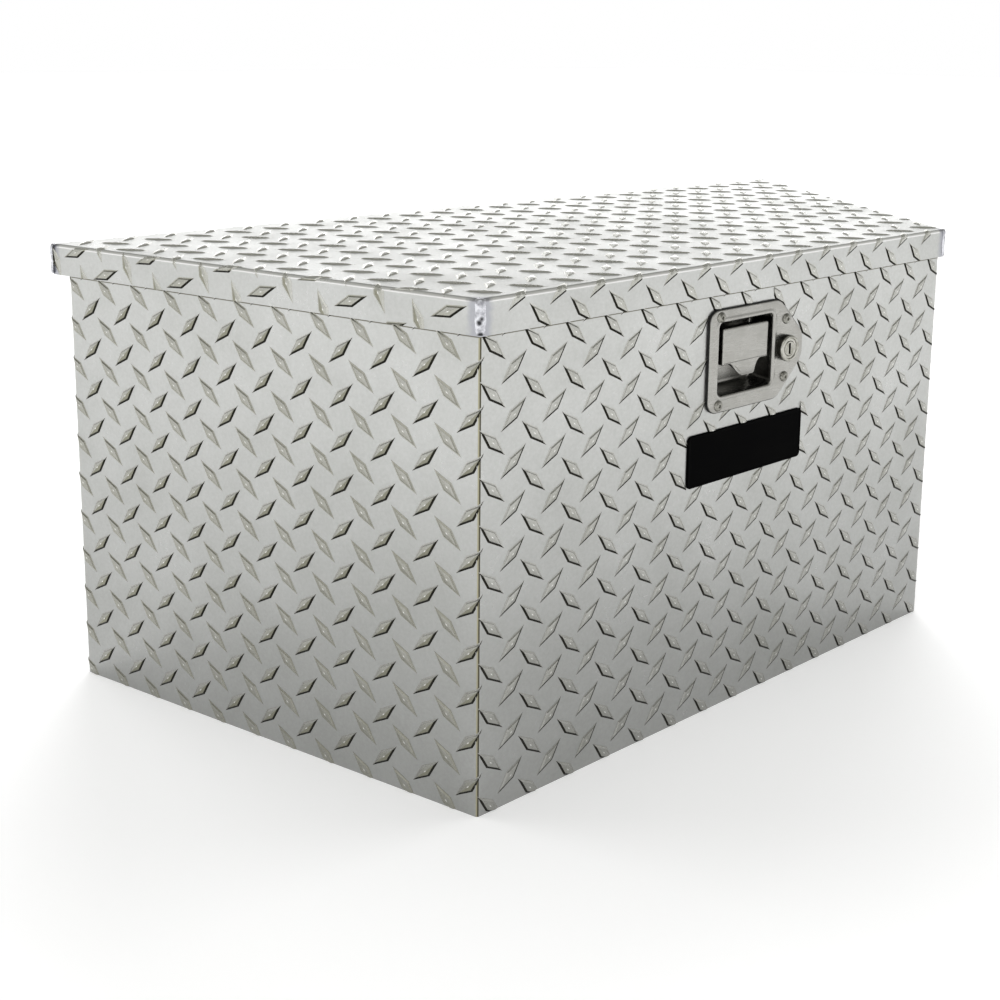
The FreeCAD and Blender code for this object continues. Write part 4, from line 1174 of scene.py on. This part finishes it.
@dataclass
class Plan:
    """The box's plan: a symmetric trapezoid, short at the latch."""

    front: float = WALL_FACE
    back: float = 189.0
    front_half: float = 277.0
    back_half: float = 453.0

    @property
    def slope(self) -> float:
        """How far the side leans outwards for each millimetre back."""
        return (self.back_half - self.front_half) / (self.back - self.front)

    @property
    def stretch(self) -> float:
        """The side's length for each millimetre back."""
        return math.hypot(self.slope, 1.0)

    def half(self, depth: float, outset: float = 0.0) -> float:
        """Half the width at a depth, for a wall moved out by outset."""
        return self.front_half + (depth - self.front) * self.slope + outset * self.stretch


@dataclass
class WrapTread:
    """The tread of the one sheet that makes the front, both slanted sides and the back flanges."""

    plan: Plan
    bend: float = 4.0
    flange: float = 25.0
    top: float = 388.0
    first: Point = (-246.5 - WALL_PITCH[0] * 13, 345.5 - WALL_PITCH[1] * 10)
    pitch: Point = WALL_PITCH
    windows: tuple[Box, ...] = ((-38.5, 282.9, 34.1, 351.5), (-65.6, 210.7, 76.3, 255.3))
    lock: Place = (49.3, 315.5, 12.0)    # its middle, and how far lugs keep away
    reach: float = 12.0                  # of a lug from its centre, along or across

    def corners(self) -> list[tuple[float, Vector]]:
        """The sheet's corners in plan, each with its distance along the sheet from the front's middle.

        Returns:
            The corners, from the left end to the right one.
        """
        plan = self.plan
        side = (plan.back - plan.front) * plan.stretch
        right = [(plan.front_half, (plan.front_half, plan.front)),
                 (plan.front_half + side, (plan.back_half, plan.back)),
                 (plan.front_half + side + self.flange, (plan.back_half - self.flange, plan.back))]
        left = [(-along, (-across, depth)) for along, (across, depth) in reversed(right)]
        return [(along, Vector(place)) for along, place in left + right]

    def bends(self) -> list[tuple[float, float]]:
        """For each bend, its place along the sheet and half its reach.

        Returns:
            The bends.
        """
        corners = self.corners()
        found = []
        for (_, before), (along, here), (_, after) in zip(corners, corners[1:], corners[2:]):
            turn = (here - before).angle(after - here)
            found.append((along, self.bend * math.tan(turn / 2)))
        return found

    def place(self, along: float, up: float, high: float) -> Place:
        """The place on the bent sheet of a point of the flat one.

        Args:
            along: how far it is from the front's middle.
            up: its height.
            high: how far it stands off the sheet.

        Returns:
            Its X, Y and Z.
        """
        corners = self.corners()
        for index in range(1, len(corners) - 1):
            at, here = corners[index]
            run_in = (here - corners[index - 1][1]).normalized()
            run_out = (corners[index + 1][1] - here).normalized()
            turn = run_in.angle(run_out)
            reach = self.bend * math.tan(turn / 2)
            if abs(along - at) < reach:
                normal = Vector((run_in.y, -run_in.x))
                centre = here - run_in * reach - normal * self.bend
                angle = (along - at + reach) / (2 * reach) * turn
                way = Matrix.Rotation(angle, 2) @ normal
                spot = centre + way * (self.bend + high)
                return spot.x, spot.y, up
        index = max(place for place in range(len(corners) - 1) if place == 0 or corners[place][0] <= along)
        at, here = corners[index]
        run = (corners[index + 1][1] - here).normalized()
        spot = here + run * (along - at) + Vector((run.y, -run.x)) * high
        return spot.x, spot.y, up

    def clear_window(self, lugs: Piece, window: Box) -> None:
        """Clears a rectangle of lugs, under the latch's cup or the label, and cuts those across its edge.

        Args:
            lugs: the flat field of lugs.
            window: the rectangle's sides.
        """
        (left, low, right, high), reach = window, self.reach
        drop(lugs, lambda at: left < at.x < right and low < at.y < high)
        for point, outward in (((left, 0), (1, 0)), ((right, 0), (-1, 0)), ((0, low), (0, 1)),
                               ((0, high), (0, -1))):
            side = Vector(outward)

            def beside(at: Vector) -> bool:
                """Whether a lug's centre is beyond this side of the window, and near it."""
                beyond = (Vector(at.xy) - Vector(point)).dot(side)
                near = left - reach < at.x < right + reach and low - reach < at.y < high + reach
                return near and -reach < beyond < 0

            cut(lugs, point, outward, True, beside)

    def build(self) -> Piece:
        """Lays the lugs on the flat sheet, trims them to it and bends them round the box.

        Returns:
            The lugs.
        """
        lugs = Lattice("wrap_tread_lugs", self.first, self.pitch, 39, 12).lay()
        end = self.corners()[-1][0] - 0.6
        drop(lugs, lambda at: abs(at.x) > end + self.reach or not -self.reach < at.y < self.top + self.reach)
        for window in self.windows:
            self.clear_window(lugs, window)
        cross, mid, radius = self.lock
        drop(lugs, lambda at: math.hypot(at.x - cross, at.y - mid) < radius)
        trim(lugs, end, self.top)
        for along, half in self.bends():
            for step in BEND_CUTS:
                cut(lugs, (along + half * step, 0), (1, 0), False)
        fold(lugs, self.place)
        return lugs


@dataclass
class BackTread:
    """The tread of the flat back panel, between the wrap's flanges."""

    plan: Plan
    edge: float = 427.4
    top: float = 388.0
    first: Point = (-438.0, -10.0)
    pitch: Point = WALL_PITCH

    def build(self) -> Piece:
        """Lays the lugs, trims them to the panel and stands them on its outer face.

        Returns:
            The lugs.
        """
        lugs = Lattice("back_tread_lugs", self.first, self.pitch, 24, 12).lay()
        trim(lugs, self.edge, self.top)
        fold(lugs, lambda along, up, high: (-along, self.plan.back + high, up))
        return lugs


@dataclass
class LidTread:
    """The tread of the lid: one pattern over its top and down its four skirts."""

    plan: Plan
    front: float = LID_FRONT
    rear: float = LID_REAR
    outset: float = LID_OUTSET
    top: float = LID_TOP
    bend: float = 3.0
    skirt: float = 27.0
    rear_skirt: float = 13.7
    corner_room: float = 3.2
    reach: float = 11.4
    first: Point = (-243.95 - 38.1 * 7, -193.25 - 38.1)
    pitch: Point = (38.1, 38.1)

    def beyond(self, across: float, depth: float) -> Place:
        """How far a point of the flat sheet is outside the front, the nearer side and the rear.

        Args:
            across: the point's X.
            depth: its Y.

        Returns:
            The three distances, below 0 inside.
        """
        plan = self.plan
        side = (abs(across) - plan.half(depth, self.outset)) / plan.stretch
        return self.front - depth, side, depth - self.rear

    def place(self, across: float, depth: float, high: float) -> Place:
        """The place on the folded lid of a point of the flat one.

        Args:
            across: the point's X.
            depth: its Y.
            high: how far it stands off the sheet.

        Returns:
            Its X, Y and Z.
        """
        plan = self.plan
        front, side, rear = self.beyond(across, depth)
        hand = 1 if across > 0 else -1
        ways = ((front, Vector((0, -1))), (side, Vector((hand, -plan.slope)) / plan.stretch),
                (rear, Vector((0, 1))))
        past, out = max(ways, key=lambda way: way[0])
        if past <= -self.bend:
            return across, depth, self.top + high
        spot = Vector((across, depth)) - out * past
        if past >= self.bend:
            spot += out * high
            return spot.x, spot.y, self.top - past
        angle = (past + self.bend) / (2 * self.bend) * math.pi / 2
        spot += out * (-self.bend + math.sin(angle) * (self.bend + high))
        return spot.x, spot.y, self.top - self.bend + math.cos(angle) * (self.bend + high)

    def build(self) -> Piece:
        """Lays the lugs on the flat sheet, trims them to its flaps and folds them down.

        Returns:
            The lugs.
        """
        lugs = Lattice("lid_tread_lugs", self.first, self.pitch, 27, 13).lay()

        def unwanted(at: Vector) -> bool:
            """Whether a lug is off the sheet, or in a notch between two flaps."""
            front, side, rear = self.beyond(at.x, at.y)
            return (front > self.skirt + self.reach or side > self.skirt + self.reach
                    or rear > self.rear_skirt + self.reach or (side > 0 and (front > 0 or rear > 0)))

        drop(lugs, unwanted)
        for hand in (-1, 1):
            self.cut_side(lugs, hand)
        cut(lugs, (0, self.front - self.skirt), (0, -1), True)
        cut(lugs, (0, self.rear + self.rear_skirt), (0, 1), True)
        for step in BEND_CUTS:
            cut(lugs, (0, self.front - self.bend * step), (0, -1), False)
            cut(lugs, (0, self.rear + self.bend * step), (0, 1), False)
        fold(lugs, self.place)
        return lugs

    def cut_side(self, lugs: Piece, hand: int) -> None:
        """Cuts the lugs of one half to the ends of its flaps, and across its side's bend.

        Args:
            lugs: the flat field of lugs.
            hand: -1 for the left half, 1 for the right one.
        """
        plan, room = self.plan, self.corner_room
        ends = [(plan.half(depth, self.outset), depth) for depth in (self.front, self.rear)]
        out = (hand / plan.stretch, -plan.slope / plan.stretch)
        ahead = (out[1] * hand, -out[0] * hand)
        near = (hand * ends[0][0], self.front)

        def on(at: Vector, flap: int) -> bool:
            """Whether a lug of this half reaches a flap: 0 the front one, 1 the side's, 2 the rear one."""
            return self.beyond(at.x, at.y)[flap] > -self.reach and at.x * hand > 0

        for (half, _), flap in zip(ends, (0, 2)):
            cut(lugs, (hand * (half - room), 0), (hand, 0), True,
                lambda at: on(at, flap) and self.beyond(at.x, at.y)[1] < 0)
        for (half, depth), way in zip(ends, (1, -1)):
            end = (hand * half - way * ahead[0] * room, depth - way * ahead[1] * room)
            cut(lugs, end, (way * ahead[0], way * ahead[1]), True, lambda at: on(at, 1) and at.y * way < 0)
        cut(lugs, (near[0] + out[0] * self.skirt, near[1] + out[1] * self.skirt), out, True,
            lambda at: at.x * hand > 0)
        for step in BEND_CUTS:
            shift = self.bend * step
            cut(lugs, (near[0] + out[0] * shift, near[1] + out[1] * shift), out, False,
                lambda at: at.x * hand > 0 and self.beyond(at.x, at.y)[1] > -2 * self.reach)


# ---------------------------------------------------------------- fitting a piece to its body

def fit(piece: Piece, body: str, slot: str, finish: Finish, *nodes: str) -> Piece:
    """Gives a finished piece its material and its body, and hides the nodes that it replaces.

    Args:
        piece: the finished piece, with its place in its mesh.
        body: the body that it rides on.
        slot: not used.
        finish: its finish.
        *nodes: the nodes that it replaces.

    Returns:
        The same piece.
    """
    piece.data.materials.clear()
    piece.data.materials.append(finish.make())
    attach(piece, body)
    if nodes:
        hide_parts(*nodes)
    LOG.info("%s on %s: %d faces", piece.name, body, len(piece.data.polygons))
    return piece


@dataclass
class Shell:
    """The welded shell and its lid: the tread of their sheets and the ground corner welds."""

    plan: Plan = field(default_factory=Plan)
    weld_half: float = 4.2
    weld_proud: float = 0.55
    weld_root: float = 1.6       # how deep the bead's back is in the corner
    weld_round: float = 0.9      # how far its edges fall back round the corner
    bead: tuple[Place, ...] = (
        (0.25, 0.35, -2.6), (0.1, 0.75, -0.9), (-2.0, 1.0, 0.75), (-6.0, 0.95, 0.9), (-10.0, 0.9, 0.6),
        (-13.0, 1.0, 0.35), (-15.0, 1.08, -0.1), (-17.0, 1.0, 0.35), (-21.0, 0.92, 0.8), (-24.0, 0.85, 0.9),
        (-25.8, 0.7, 0.3), (-26.4, 0.5, -0.5))    # each ring's height over the lid's top, width and bulge

    def corner_weld(self, name: str, across: float, depth: float, out: Vector) -> Piece:
        """One ground bead down a lid corner.

        Args:
            name: the piece's name.
            across: the corner's X.
            depth: its Y.
            out: the way that the corner points, in plan.

        Returns:
            The bead.
        """
        beside = Vector((-out.y, out.x))
        rings = []
        for height, wide, proud in self.bead:
            ring = []
            for cosine, sine in disc((0, 0), 1.0, 24):
                side = cosine * self.weld_half * wide
                bulge = proud * self.weld_proud + self.weld_root * (max(sine, -0.6) - 1.0)
                drawn = -(side / (self.weld_half * 1.1)) ** 2 * self.weld_round
                spot = Vector((across, depth)) + beside * side + out * (bulge + drawn)
                ring.append(Vector((spot.x, spot.y, LID_TOP + height)) * MM)
            rings.append(ring)
        bead = loft(name, rings, start=True)
        modify(bead, "SUBSURF", levels=1, render_levels=1)
        return shade(bead, 60)

    def welds(self) -> list[Piece]:
        """The four corner beads of the lid.

        Returns:
            The beads.
        """
        made = []
        for hand, word in ((-1, "left"), (1, "right")):
            side = Vector((hand, -self.plan.slope)).normalized()
            for end, depth, way in (("front", LID_FRONT, -1), ("rear", LID_REAR, 1)):
                out = (side + Vector((0, way))).normalized()
                across = hand * self.plan.half(depth, LID_OUTSET)
                made.append(self.corner_weld(f"{word}_{end}_corner_weld", across, depth, out))
        return made

    def build(self) -> None:
        """Adds the lugs and the welds."""
        for piece in (WrapTread(self.plan).build(), BackTread(self.plan).build()):
            fit(piece, "box", "tread_plate", WALL_LUG)
        fit(LidTread(self.plan).build(), "lid", "tread_plate", LUG)
        for bead in self.welds():
            fit(bead, "lid", "tread_plate", WELD)


# ---------------------------------------------------------------- the latch

@dataclass
class Latch:
    """The flush paddle latch: pressed plate and cup, gasket, rivets, paddle and key lock."""

    face: float = -192.0
    wall: float = WALL_FACE
    left: float = -46.0
    low: float = 271.5
    high: float = 359.5
    shoulder: float = 40.0
    nose: float = 71.4
    nose_half: float = 10.7
    cup: Box = (-35.7, 285.7, 31.3, 348.7)
    cup_radius: float = 4.6
    plate_sheet: float = 0.9
    gasket_thick: float = 2.0
    paddle_sheet: float = 1.2
    paddle_half: float = 28.0
    paddle_low: float = 311.2
    paddle_high: float = 342.9
    tongue_half: float = 19.5
    tongue_run: float = 13.5     # of each S-curve, along
    tongue_tip: float = 300.7
    lip: Place = (309.0, 8.3, 3.0)     # the height where the tongue curls out, the run of it and how far out
    root: Place = (311.0, 4.0, 0.72)   # where its folded edge thins, the run of it and how much
    lock: Point = (49.3, 315.5)
    rivets: tuple[Point, ...] = ((-34.0, 277.5), (-34.0, 353.5), (48.5, 289.5), (48.5, 341.5))
    points: int = 288

    @property
    def middle(self) -> Point:
        """The cup's centre."""
        left, low, right, high = self.cup
        return (left + right) / 2, (low + high) / 2

    def plate_outline(self) -> list[Point]:
        """The plate: square at the cup, narrowing to a round nose at the lock.

        Returns:
            The outline.
        """
        mid = (self.low + self.high) / 2
        corners = [(self.left, self.low, 10.0), (self.shoulder, self.low, 16.0),
                   (self.nose, mid - self.nose_half, 15.0), (self.nose, mid + self.nose_half, 15.0),
                   (self.shoulder, self.high, 16.0), (self.left, self.high, 10.0)]
        return seen_from(round_corners(corners, 0.8), self.middle, self.points)

    def cup_outline(self, out: float, radius: float) -> list[Point]:
        """The cup's outline, grown.

        Args:
            out: how far it is grown.
            radius: its corner radius.

        Returns:
            The outline.
        """
        left, low, right, high = self.cup
        corners = rectangle(left - out, low - out, right + out, high + out, radius)
        return seen_from(round_corners(corners, 0.5), self.middle, self.points)

    def plate(self) -> Piece:
        """The pressed plate, with a rolled bead round its cup.

        Returns:
            The plate.
        """
        edge = ((0.0, 0.95), (-0.12, 0.45), (-0.45, 0.12), (-1.0, 0.0))
        bead = ((5.0, 0.0), (4.3, -0.12), (3.6, -0.50), (2.9, -0.82), (2.1, -0.95), (1.3, -0.82),
                (0.7, -0.45), (0.25, 0.2), (0.0, 1.2))
        cup = ((-0.1, 8.0), (-0.3, 20.0), (-0.6, 23.0), (-1.3, 24.3), (-2.6, 24.9), (-4.0, 25.0))
        rings = stepped(self.plate_outline(), self.face, edge)
        rings += [facing(self.cup_outline(out, self.cup_radius + max(out, 0.0)), self.face + depth)
                  for out, depth in bead + cup]
        plate = loft("latch_plate_pressed", rings)
        front = (self.face + 0.05) * MM
        with editing(plate, "FACE") as mesh:
            face_front([face for face in mesh.faces if face.calc_center_median().y < front])
        modify(plate, "SOLIDIFY", thickness=self.plate_sheet * MM, offset=-1.0)
        return shade(plate, 40)

    def gasket(self) -> Piece:
        """The rubber gasket, thick enough to sit down over the lugs.

        Returns:
            The gasket.
        """
        edge = ((0.0, 0.0), (0.1, -0.9), (0.0, -self.gasket_thick))
        outside = stepped(grown(self.plate_outline(), 0.5), self.wall, edge)
        low, high = stepped(self.cup_outline(1.6, 6.0), self.wall, ((0.0, 0.0), (0.0, -self.gasket_thick)))
        rings = [low, *outside, high, low]
        return shade(right_way_round(loft("latch_gasket_band", rings, end=False)), 50)

    def rivet_heads(self) -> Piece:
        """The four domed heads, each with the hole that its mandrel left.

        Returns:
            The heads, as one piece.
        """
        profile = ((4.7, 0.6), (4.7, 0.0), (4.62, -0.45), (4.2, -1.05), (3.4, -1.65), (2.5, -2.02),
                   (1.85, -2.15), (1.5, -2.1), (1.32, -1.9), (1.25, -0.9), (0.9, -0.8), (0.5, -1.05))
        first = shade(loft("rivet_head", spun((0, 0), self.face, profile), start=True), 35)
        heads = [copy_of(first, Matrix.Translation((across * MM, 0, up * MM))) for across, up in self.rivets]
        take(first)
        bpy.ops.object.delete()
        return join("latch_rivet_heads", heads)

    def paddle_outline(self) -> list[Point]:
        """The paddle: square above, with a finger tongue that swings down in two S-curves.

        Returns:
            The outline.
        """
        centre, low, fall = self.middle[0], self.paddle_low, self.paddle_low - self.tongue_tip
        curve = [(centre - self.tongue_half + self.tongue_run * step / 24,
                  low - fall * (0.5 - 0.5 * math.cos(math.pi * step / 24))) for step in range(25)]
        mirrored = [(2 * centre - across, up) for across, up in reversed(curve)]
        left, right = centre - self.paddle_half, centre + self.paddle_half
        upper = round_corners([(left, low, 1.2), (right, low, 1.2), (right, self.paddle_high, 2.2),
                               (left, self.paddle_high, 2.2)], 0.7)
        body = [point for point in upper if abs(point[1] - low) > 0.01 or not self.in_tongue(point[0])]
        split = next(index for index, point in enumerate(body)
                     if point[1] < low + 0.01 and point[0] > centre)
        if body[0][0] < centre:
            return body[:split] + curve + mirrored + body[split:]
        return curve + mirrored + body

    def in_tongue(self, across: float) -> bool:
        """Whether an X is within the tongue's width."""
        return abs(across - self.middle[0]) < self.tongue_half + 0.1

    def paddle(self) -> Piece:
        """The pressed paddle, with folded sides, a soft top bend and a curled lip.

        Returns:
            The paddle.
        """
        edge = ((0.0, 6.0), (0.0, 2.0), (-0.12, 1.2), (-0.45, 0.55), (-1.0, 0.15), (-1.8, 0.0))
        paddle = loft("paddle_pressed", stepped(self.paddle_outline(), self.face, edge))
        with editing(paddle, "FACE") as mesh:
            face_front([face for face in mesh.faces if len(face.verts) > 4])
        (lip_top, lip_run, lip_out), (root_top, root_run, thinned) = self.lip, self.root
        for vertex in paddle.data.vertices:
            across, depth, up = vertex.co / MM
            inside = self.in_tongue(across)
            curl = inside * clamped((lip_top - up) / lip_run)
            root = inside * clamped((root_top - up) / root_run)
            behind = max(0.0, depth - self.face)
            vertex.co.y = (self.face + behind * (1 - thinned * root) - lip_out * curl * curl) * MM
        modify(paddle, "SOLIDIFY", thickness=self.paddle_sheet * MM, offset=-1.0)
        return shade(paddle, 40)

    def lock_head(self) -> Piece:
        """The chromed lock barrel's head, a bold ring round the plug.

        Returns:
            The head.
        """
        profile = ((9.0, 4.0), (11.7, 0.6), (11.7, 0.0), (11.7, -3.9), (11.5, -4.6), (11.05, -5.1),
                   (10.5, -5.35), (9.8, -5.4), (9.2, -5.2), (8.9, -4.8), (8.75, -4.3), (6.9, -4.2),
                   (6.62, -3.9), (6.6, 0.5))
        return shade(loft("lock_barrel_head", spun(self.lock, self.face, profile, 64), end=False), 30)

    def lock_plug(self) -> Piece:
        """The turning plug with its upright keyway.

        Returns:
            The plug.
        """
        (cross, mid), half_width, half_height, count = self.lock, 1.3, 4.75, 96
        slot = rectangle(cross - half_width, mid - half_height, cross + half_width, mid + half_height, 0.5)
        keyway = seen_from(round_corners(slot, 0.15), self.lock, count)
        rings = spun(self.lock, self.face, ((6.5, 12.0), (6.5, -4.3), (6.2, -4.65)), count)
        rings += stepped(keyway, self.face, ((0.25, -4.65), (0.0, -4.4), (0.0, 3.5)))
        return shade(loft("lock_plug_face", rings), 30)

    def build(self) -> None:
        """Builds and fits the latch's pieces."""
        fit(self.plate(), "box", "latch_steel", CUPPED, "latch_plate")
        fit(self.gasket(), "box", "seal_rubber", GASKET, "latch_gasket")
        fit(self.rivet_heads(), "box", "rivets", DULL_RIVET, "latch_rivets")
        fit(self.paddle(), "paddle", "latch_steel", CUPPED, "paddle")
        fit(self.lock_head(), "box", "lock_chrome", LOCK_CHROME, "lock_barrel")
        fit(self.lock_plug(), "lock", "lock_chrome", LOCK_CHROME, "lock_plug")


@dataclass
class BoltSpring:
    """The coil behind the cup: it drives the bolt home, and shortens as the paddle draws the bolt back."""

    middle: Point = (-2.2, 323.7)
    near: float = -165.2
    length: float = 15.4
    radius: float = 4.5
    wire: float = 0.5
    turns: int = 5
    steps: int = 20
    squeezed: float = 0.39

    def build(self) -> None:
        """Winds the wire."""
        rings = []
        count = self.turns * self.steps
        for step in range(count + 1):
            angle = math.tau * step / self.steps
            out = Vector((math.cos(angle), 0, math.sin(angle)))
            along = Vector((-math.sin(angle), self.length / self.turns / (math.tau * self.radius),
                            math.cos(angle))).normalized()
            side = along.cross(out)
            centre = Vector((self.middle[0], self.near + self.length * step / count, self.middle[1]))
            centre += out * self.radius
            rings.append([(centre + (out * across + side * up) * self.wire) * MM
                          for across, up in disc((0, 0), 1.0, 8)])
        spring = shade(loft("bolt_spring_coil", rings, start=True), 50)
        fit(spring, "box", "spring_steel", SPRING, "bolt_spring")
        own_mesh(spring)


@dataclass
class Label:
    """The blank black plate under the latch."""

    box: Box = (-66.0, 210.3, 76.7, 255.7)
    radius: float = 4.0
    edge: tuple[Point, ...] = ((0.0, 0.0), (0.0, -1.2), (-0.15, -1.45), (-0.5, -1.6), (-1.8, -1.6),
                               (-2.2, -1.42), (-3.0, -1.40))

    def build(self) -> None:
        """Builds the plate with rounded corners, a soft edge and a shallow raised border."""
        outline = round_corners(rectangle(*self.box, self.radius), 0.8)
        plate = shade(loft("blank_label", stepped(outline, WALL_FACE, self.edge), start=True), 35)
        fit(plate, "box", "label_black", VINYL, "label_plate")


# ---------------------------------------------------------------- the solids that keep their shape

NODE_FINISHES: dict[str, Finish] = {
    "tread_plate": TREAD, "plain_sheet": PLAIN, "rivets": RIVET, "seal_rubber": RUBBER,
    "hinge_steel": HINGE, "latch_steel": STAINLESS, "zinc_steel": ZINC, "spring_steel": SPRING,
    "lock_chrome": CHROME, "label_black": VINYL, "strut_paint": PAINT, "rod_chrome": ROD,
    "socket_plastic": PLASTIC,
}

OWN_FINISHES: dict[str, Finish] = {
    "box_wrap": BENT_TREAD, "back_panel": FLAT_TREAD, "lid_panel": WELDED_TREAD}


def dress_solids(nodes: dict[str, Piece]) -> None:
    """Gives every node the finish of its own material slot.

    Args:
        nodes: the solids, by name.
    """
    for name, node in nodes.items():
        for place in node.material_slots:
            word = place.material.name.split(".")[0]
            place.material = OWN_FINISHES.get(name, NODE_FINISHES[word]).make()
        LOG.info("%s keeps its shape", name)


# ---------------------------------------------------------------- the studio

@dataclass
class Studio:
    """A plain pale floor under a white surround, soft lamps and banks round the box, and the viewpoint."""

    eye: Place = (-0.73346, -0.83149, 0.57592)
    right: Place = (0.80604, -0.5918, 0.0086)
    up: Place = (0.08267, 0.12696, 0.98846)
    lens: float = 41.41
    shift: float = -0.28
    white_to: float = 0.16       # how far up the surround is white, as the sine of the angle
    dim_from: float = 0.52       # from where on up it is as dim as the ceiling
    ceiling: str = "#ADADA9"
    floor_colour: str = "#ECECED"
    floor_lift: float = 0.28     # how much the floor seems to glow, to the eye and in mirrors
    lamps: tuple[tuple[str, float, float], ...] = (
        ("behind", 48.0, 1.7), ("behind_left", 118.0, 1.2), ("beside_right", -6.0, 0.9))
    lamp_rise: float = 32.0
    lamp_spread: float = 50.0
    banks: tuple[tuple[str, Place, Place, Point, float], ...] = (
        ("low_rear_bank", (2.45, 3.15, 0.75), (0.0, 0.0, 0.4), (4.8, 0.8), 27.0),
        ("front_bank", (-1.9, -2.2, 2.6), (0.0, 0.0, 0.3), (3.0, 2.4), 22.0))

    def floor(self) -> None:
        """A wide pale floor that keeps the box's shadow."""
        clear_selection()
        bpy.ops.mesh.primitive_grid_add(x_subdivisions=4, y_subdivisions=4, size=40.0,
                                        location=(0, 0, CAD_BOX[0][2]))
        ground = settle(bpy.context.object)
        ground.name = "studio_floor"
        paint = bpy.data.materials.new("pale_studio_floor")
        graph = Graph(paint)
        rays = add_node(graph.tree, "ShaderNodeLightPath").outputs
        seen = rays["Is Camera Ray"]
        for kind in ("Is Glossy Ray", "Is Transmission Ray"):
            seen = graph.math("MAXIMUM", seen, rays[kind])
        lift = graph.math("MULTIPLY", seen, self.floor_lift)
        plain = graph.add("BsdfDiffuse", {"Color": linear(self.floor_colour)})
        glow = graph.add("Emission", {"Color": (1, 1, 1, 1), "Strength": lift})
        both = graph.add("AddShader", {0: plain, 1: glow})
        add_node(graph.tree, "ShaderNodeOutputMaterial", {"Surface": both})
        ground.data.materials.append(paint)

    def sky(self) -> None:
        """A white surround that dims from the horizon to the ceiling."""
        world = bpy.data.worlds.new("studio_surround")
        bpy.context.scene.world = world
        graph = Graph(world)
        way = graph.add("TexCoord", {}, "Generated")
        up = graph.add("SeparateXYZ", {0: way}, "Z")
        height = graph.span(up, self.white_to, self.dim_from, interpolation_type="SMOOTHSTEP")
        colour = graph.blend(height, "#FFFFFF", self.ceiling)
        light = graph.add("Background", {"Color": colour, "Strength": 1.0})
        add_node(graph.tree, "ShaderNodeOutputWorld", {"Surface": light})

    def lamp(self, name: str, round_from_x: float, strength: float) -> None:
        """One soft far lamp.

        Args:
            name: the lamp's name.
            round_from_x: where it stands, in degrees round from +X.
            strength: its strength in W/m2.
        """
        clear_selection()
        turn, rise = math.radians(round_from_x), math.radians(self.lamp_rise)
        way = Vector((math.cos(rise) * math.cos(turn), math.cos(rise) * math.sin(turn), math.sin(rise)))
        bpy.ops.object.light_add(type="SUN", location=way * 3.0,
                                 rotation=way.to_track_quat("Z", "Y").to_euler())
        made = bpy.context.object
        made.name = name
        made.data.energy = strength
        made.data.angle = math.radians(self.lamp_spread)
        made.visible_glossy = False

    def bank(self, name: str, place: Vector, target: Vector, size: Point, watts: float) -> None:
        """One soft light bank.

        Args:
            name: the bank's name.
            place: where it stands.
            target: what it is turned to.
            size: its width and height.
            watts: its power.
        """
        clear_selection()
        bpy.ops.object.light_add(type="AREA", location=place,
                                 rotation=(target - place).to_track_quat("-Z", "Y").to_euler())
        lamp = bpy.context.object
        lamp.name = name
        lamp.data.shape = "RECTANGLE"
        lamp.data.size, lamp.data.size_y = size
        lamp.data.energy = watts

    def camera(self) -> None:
        """The viewpoint: a little above the box, off its left front corner."""
        right, up = Vector(self.right).normalized(), Vector(self.up)
        back = right.cross(up).normalized()
        up = back.cross(right)
        turn = Matrix((right, up, back)).transposed().to_4x4()
        lens = bpy.data.cameras.new("viewpoint")
        lens.sensor_width = 36.0
        lens.lens = self.lens
        lens.shift_y = self.shift
        lens.dof.use_dof = False
        camera = bpy.data.objects.new("viewpoint", lens)
        bpy.context.scene.collection.objects.link(camera)
        camera.matrix_world = Matrix.Translation(self.eye) @ turn
        bpy.context.scene.camera = camera

    def build(self) -> None:
        """Sets up the whole studio."""
        self.floor()
        self.sky()
        for name, turn, strength in self.lamps:
            self.lamp(f"lamp_{name}", turn, strength)
        for name, place, target, size, watts in self.banks:
            self.bank(name, Vector(place), Vector(target), size, watts)
        self.camera()
        bpy.context.scene.view_settings.view_transform = "Standard"


def main() -> None:
    """Dresses the box, piece by piece, and sets up the studio."""
    logging.basicConfig(level=logging.INFO, format="%(name)s: %(message)s")
    dress_solids(frame["nodes"])
    Shell().build()
    Latch().build()
    BoltSpring().build()
    Label().build()
    Studio().build()
    clear_selection()


if __name__ == "__main__":
    main()
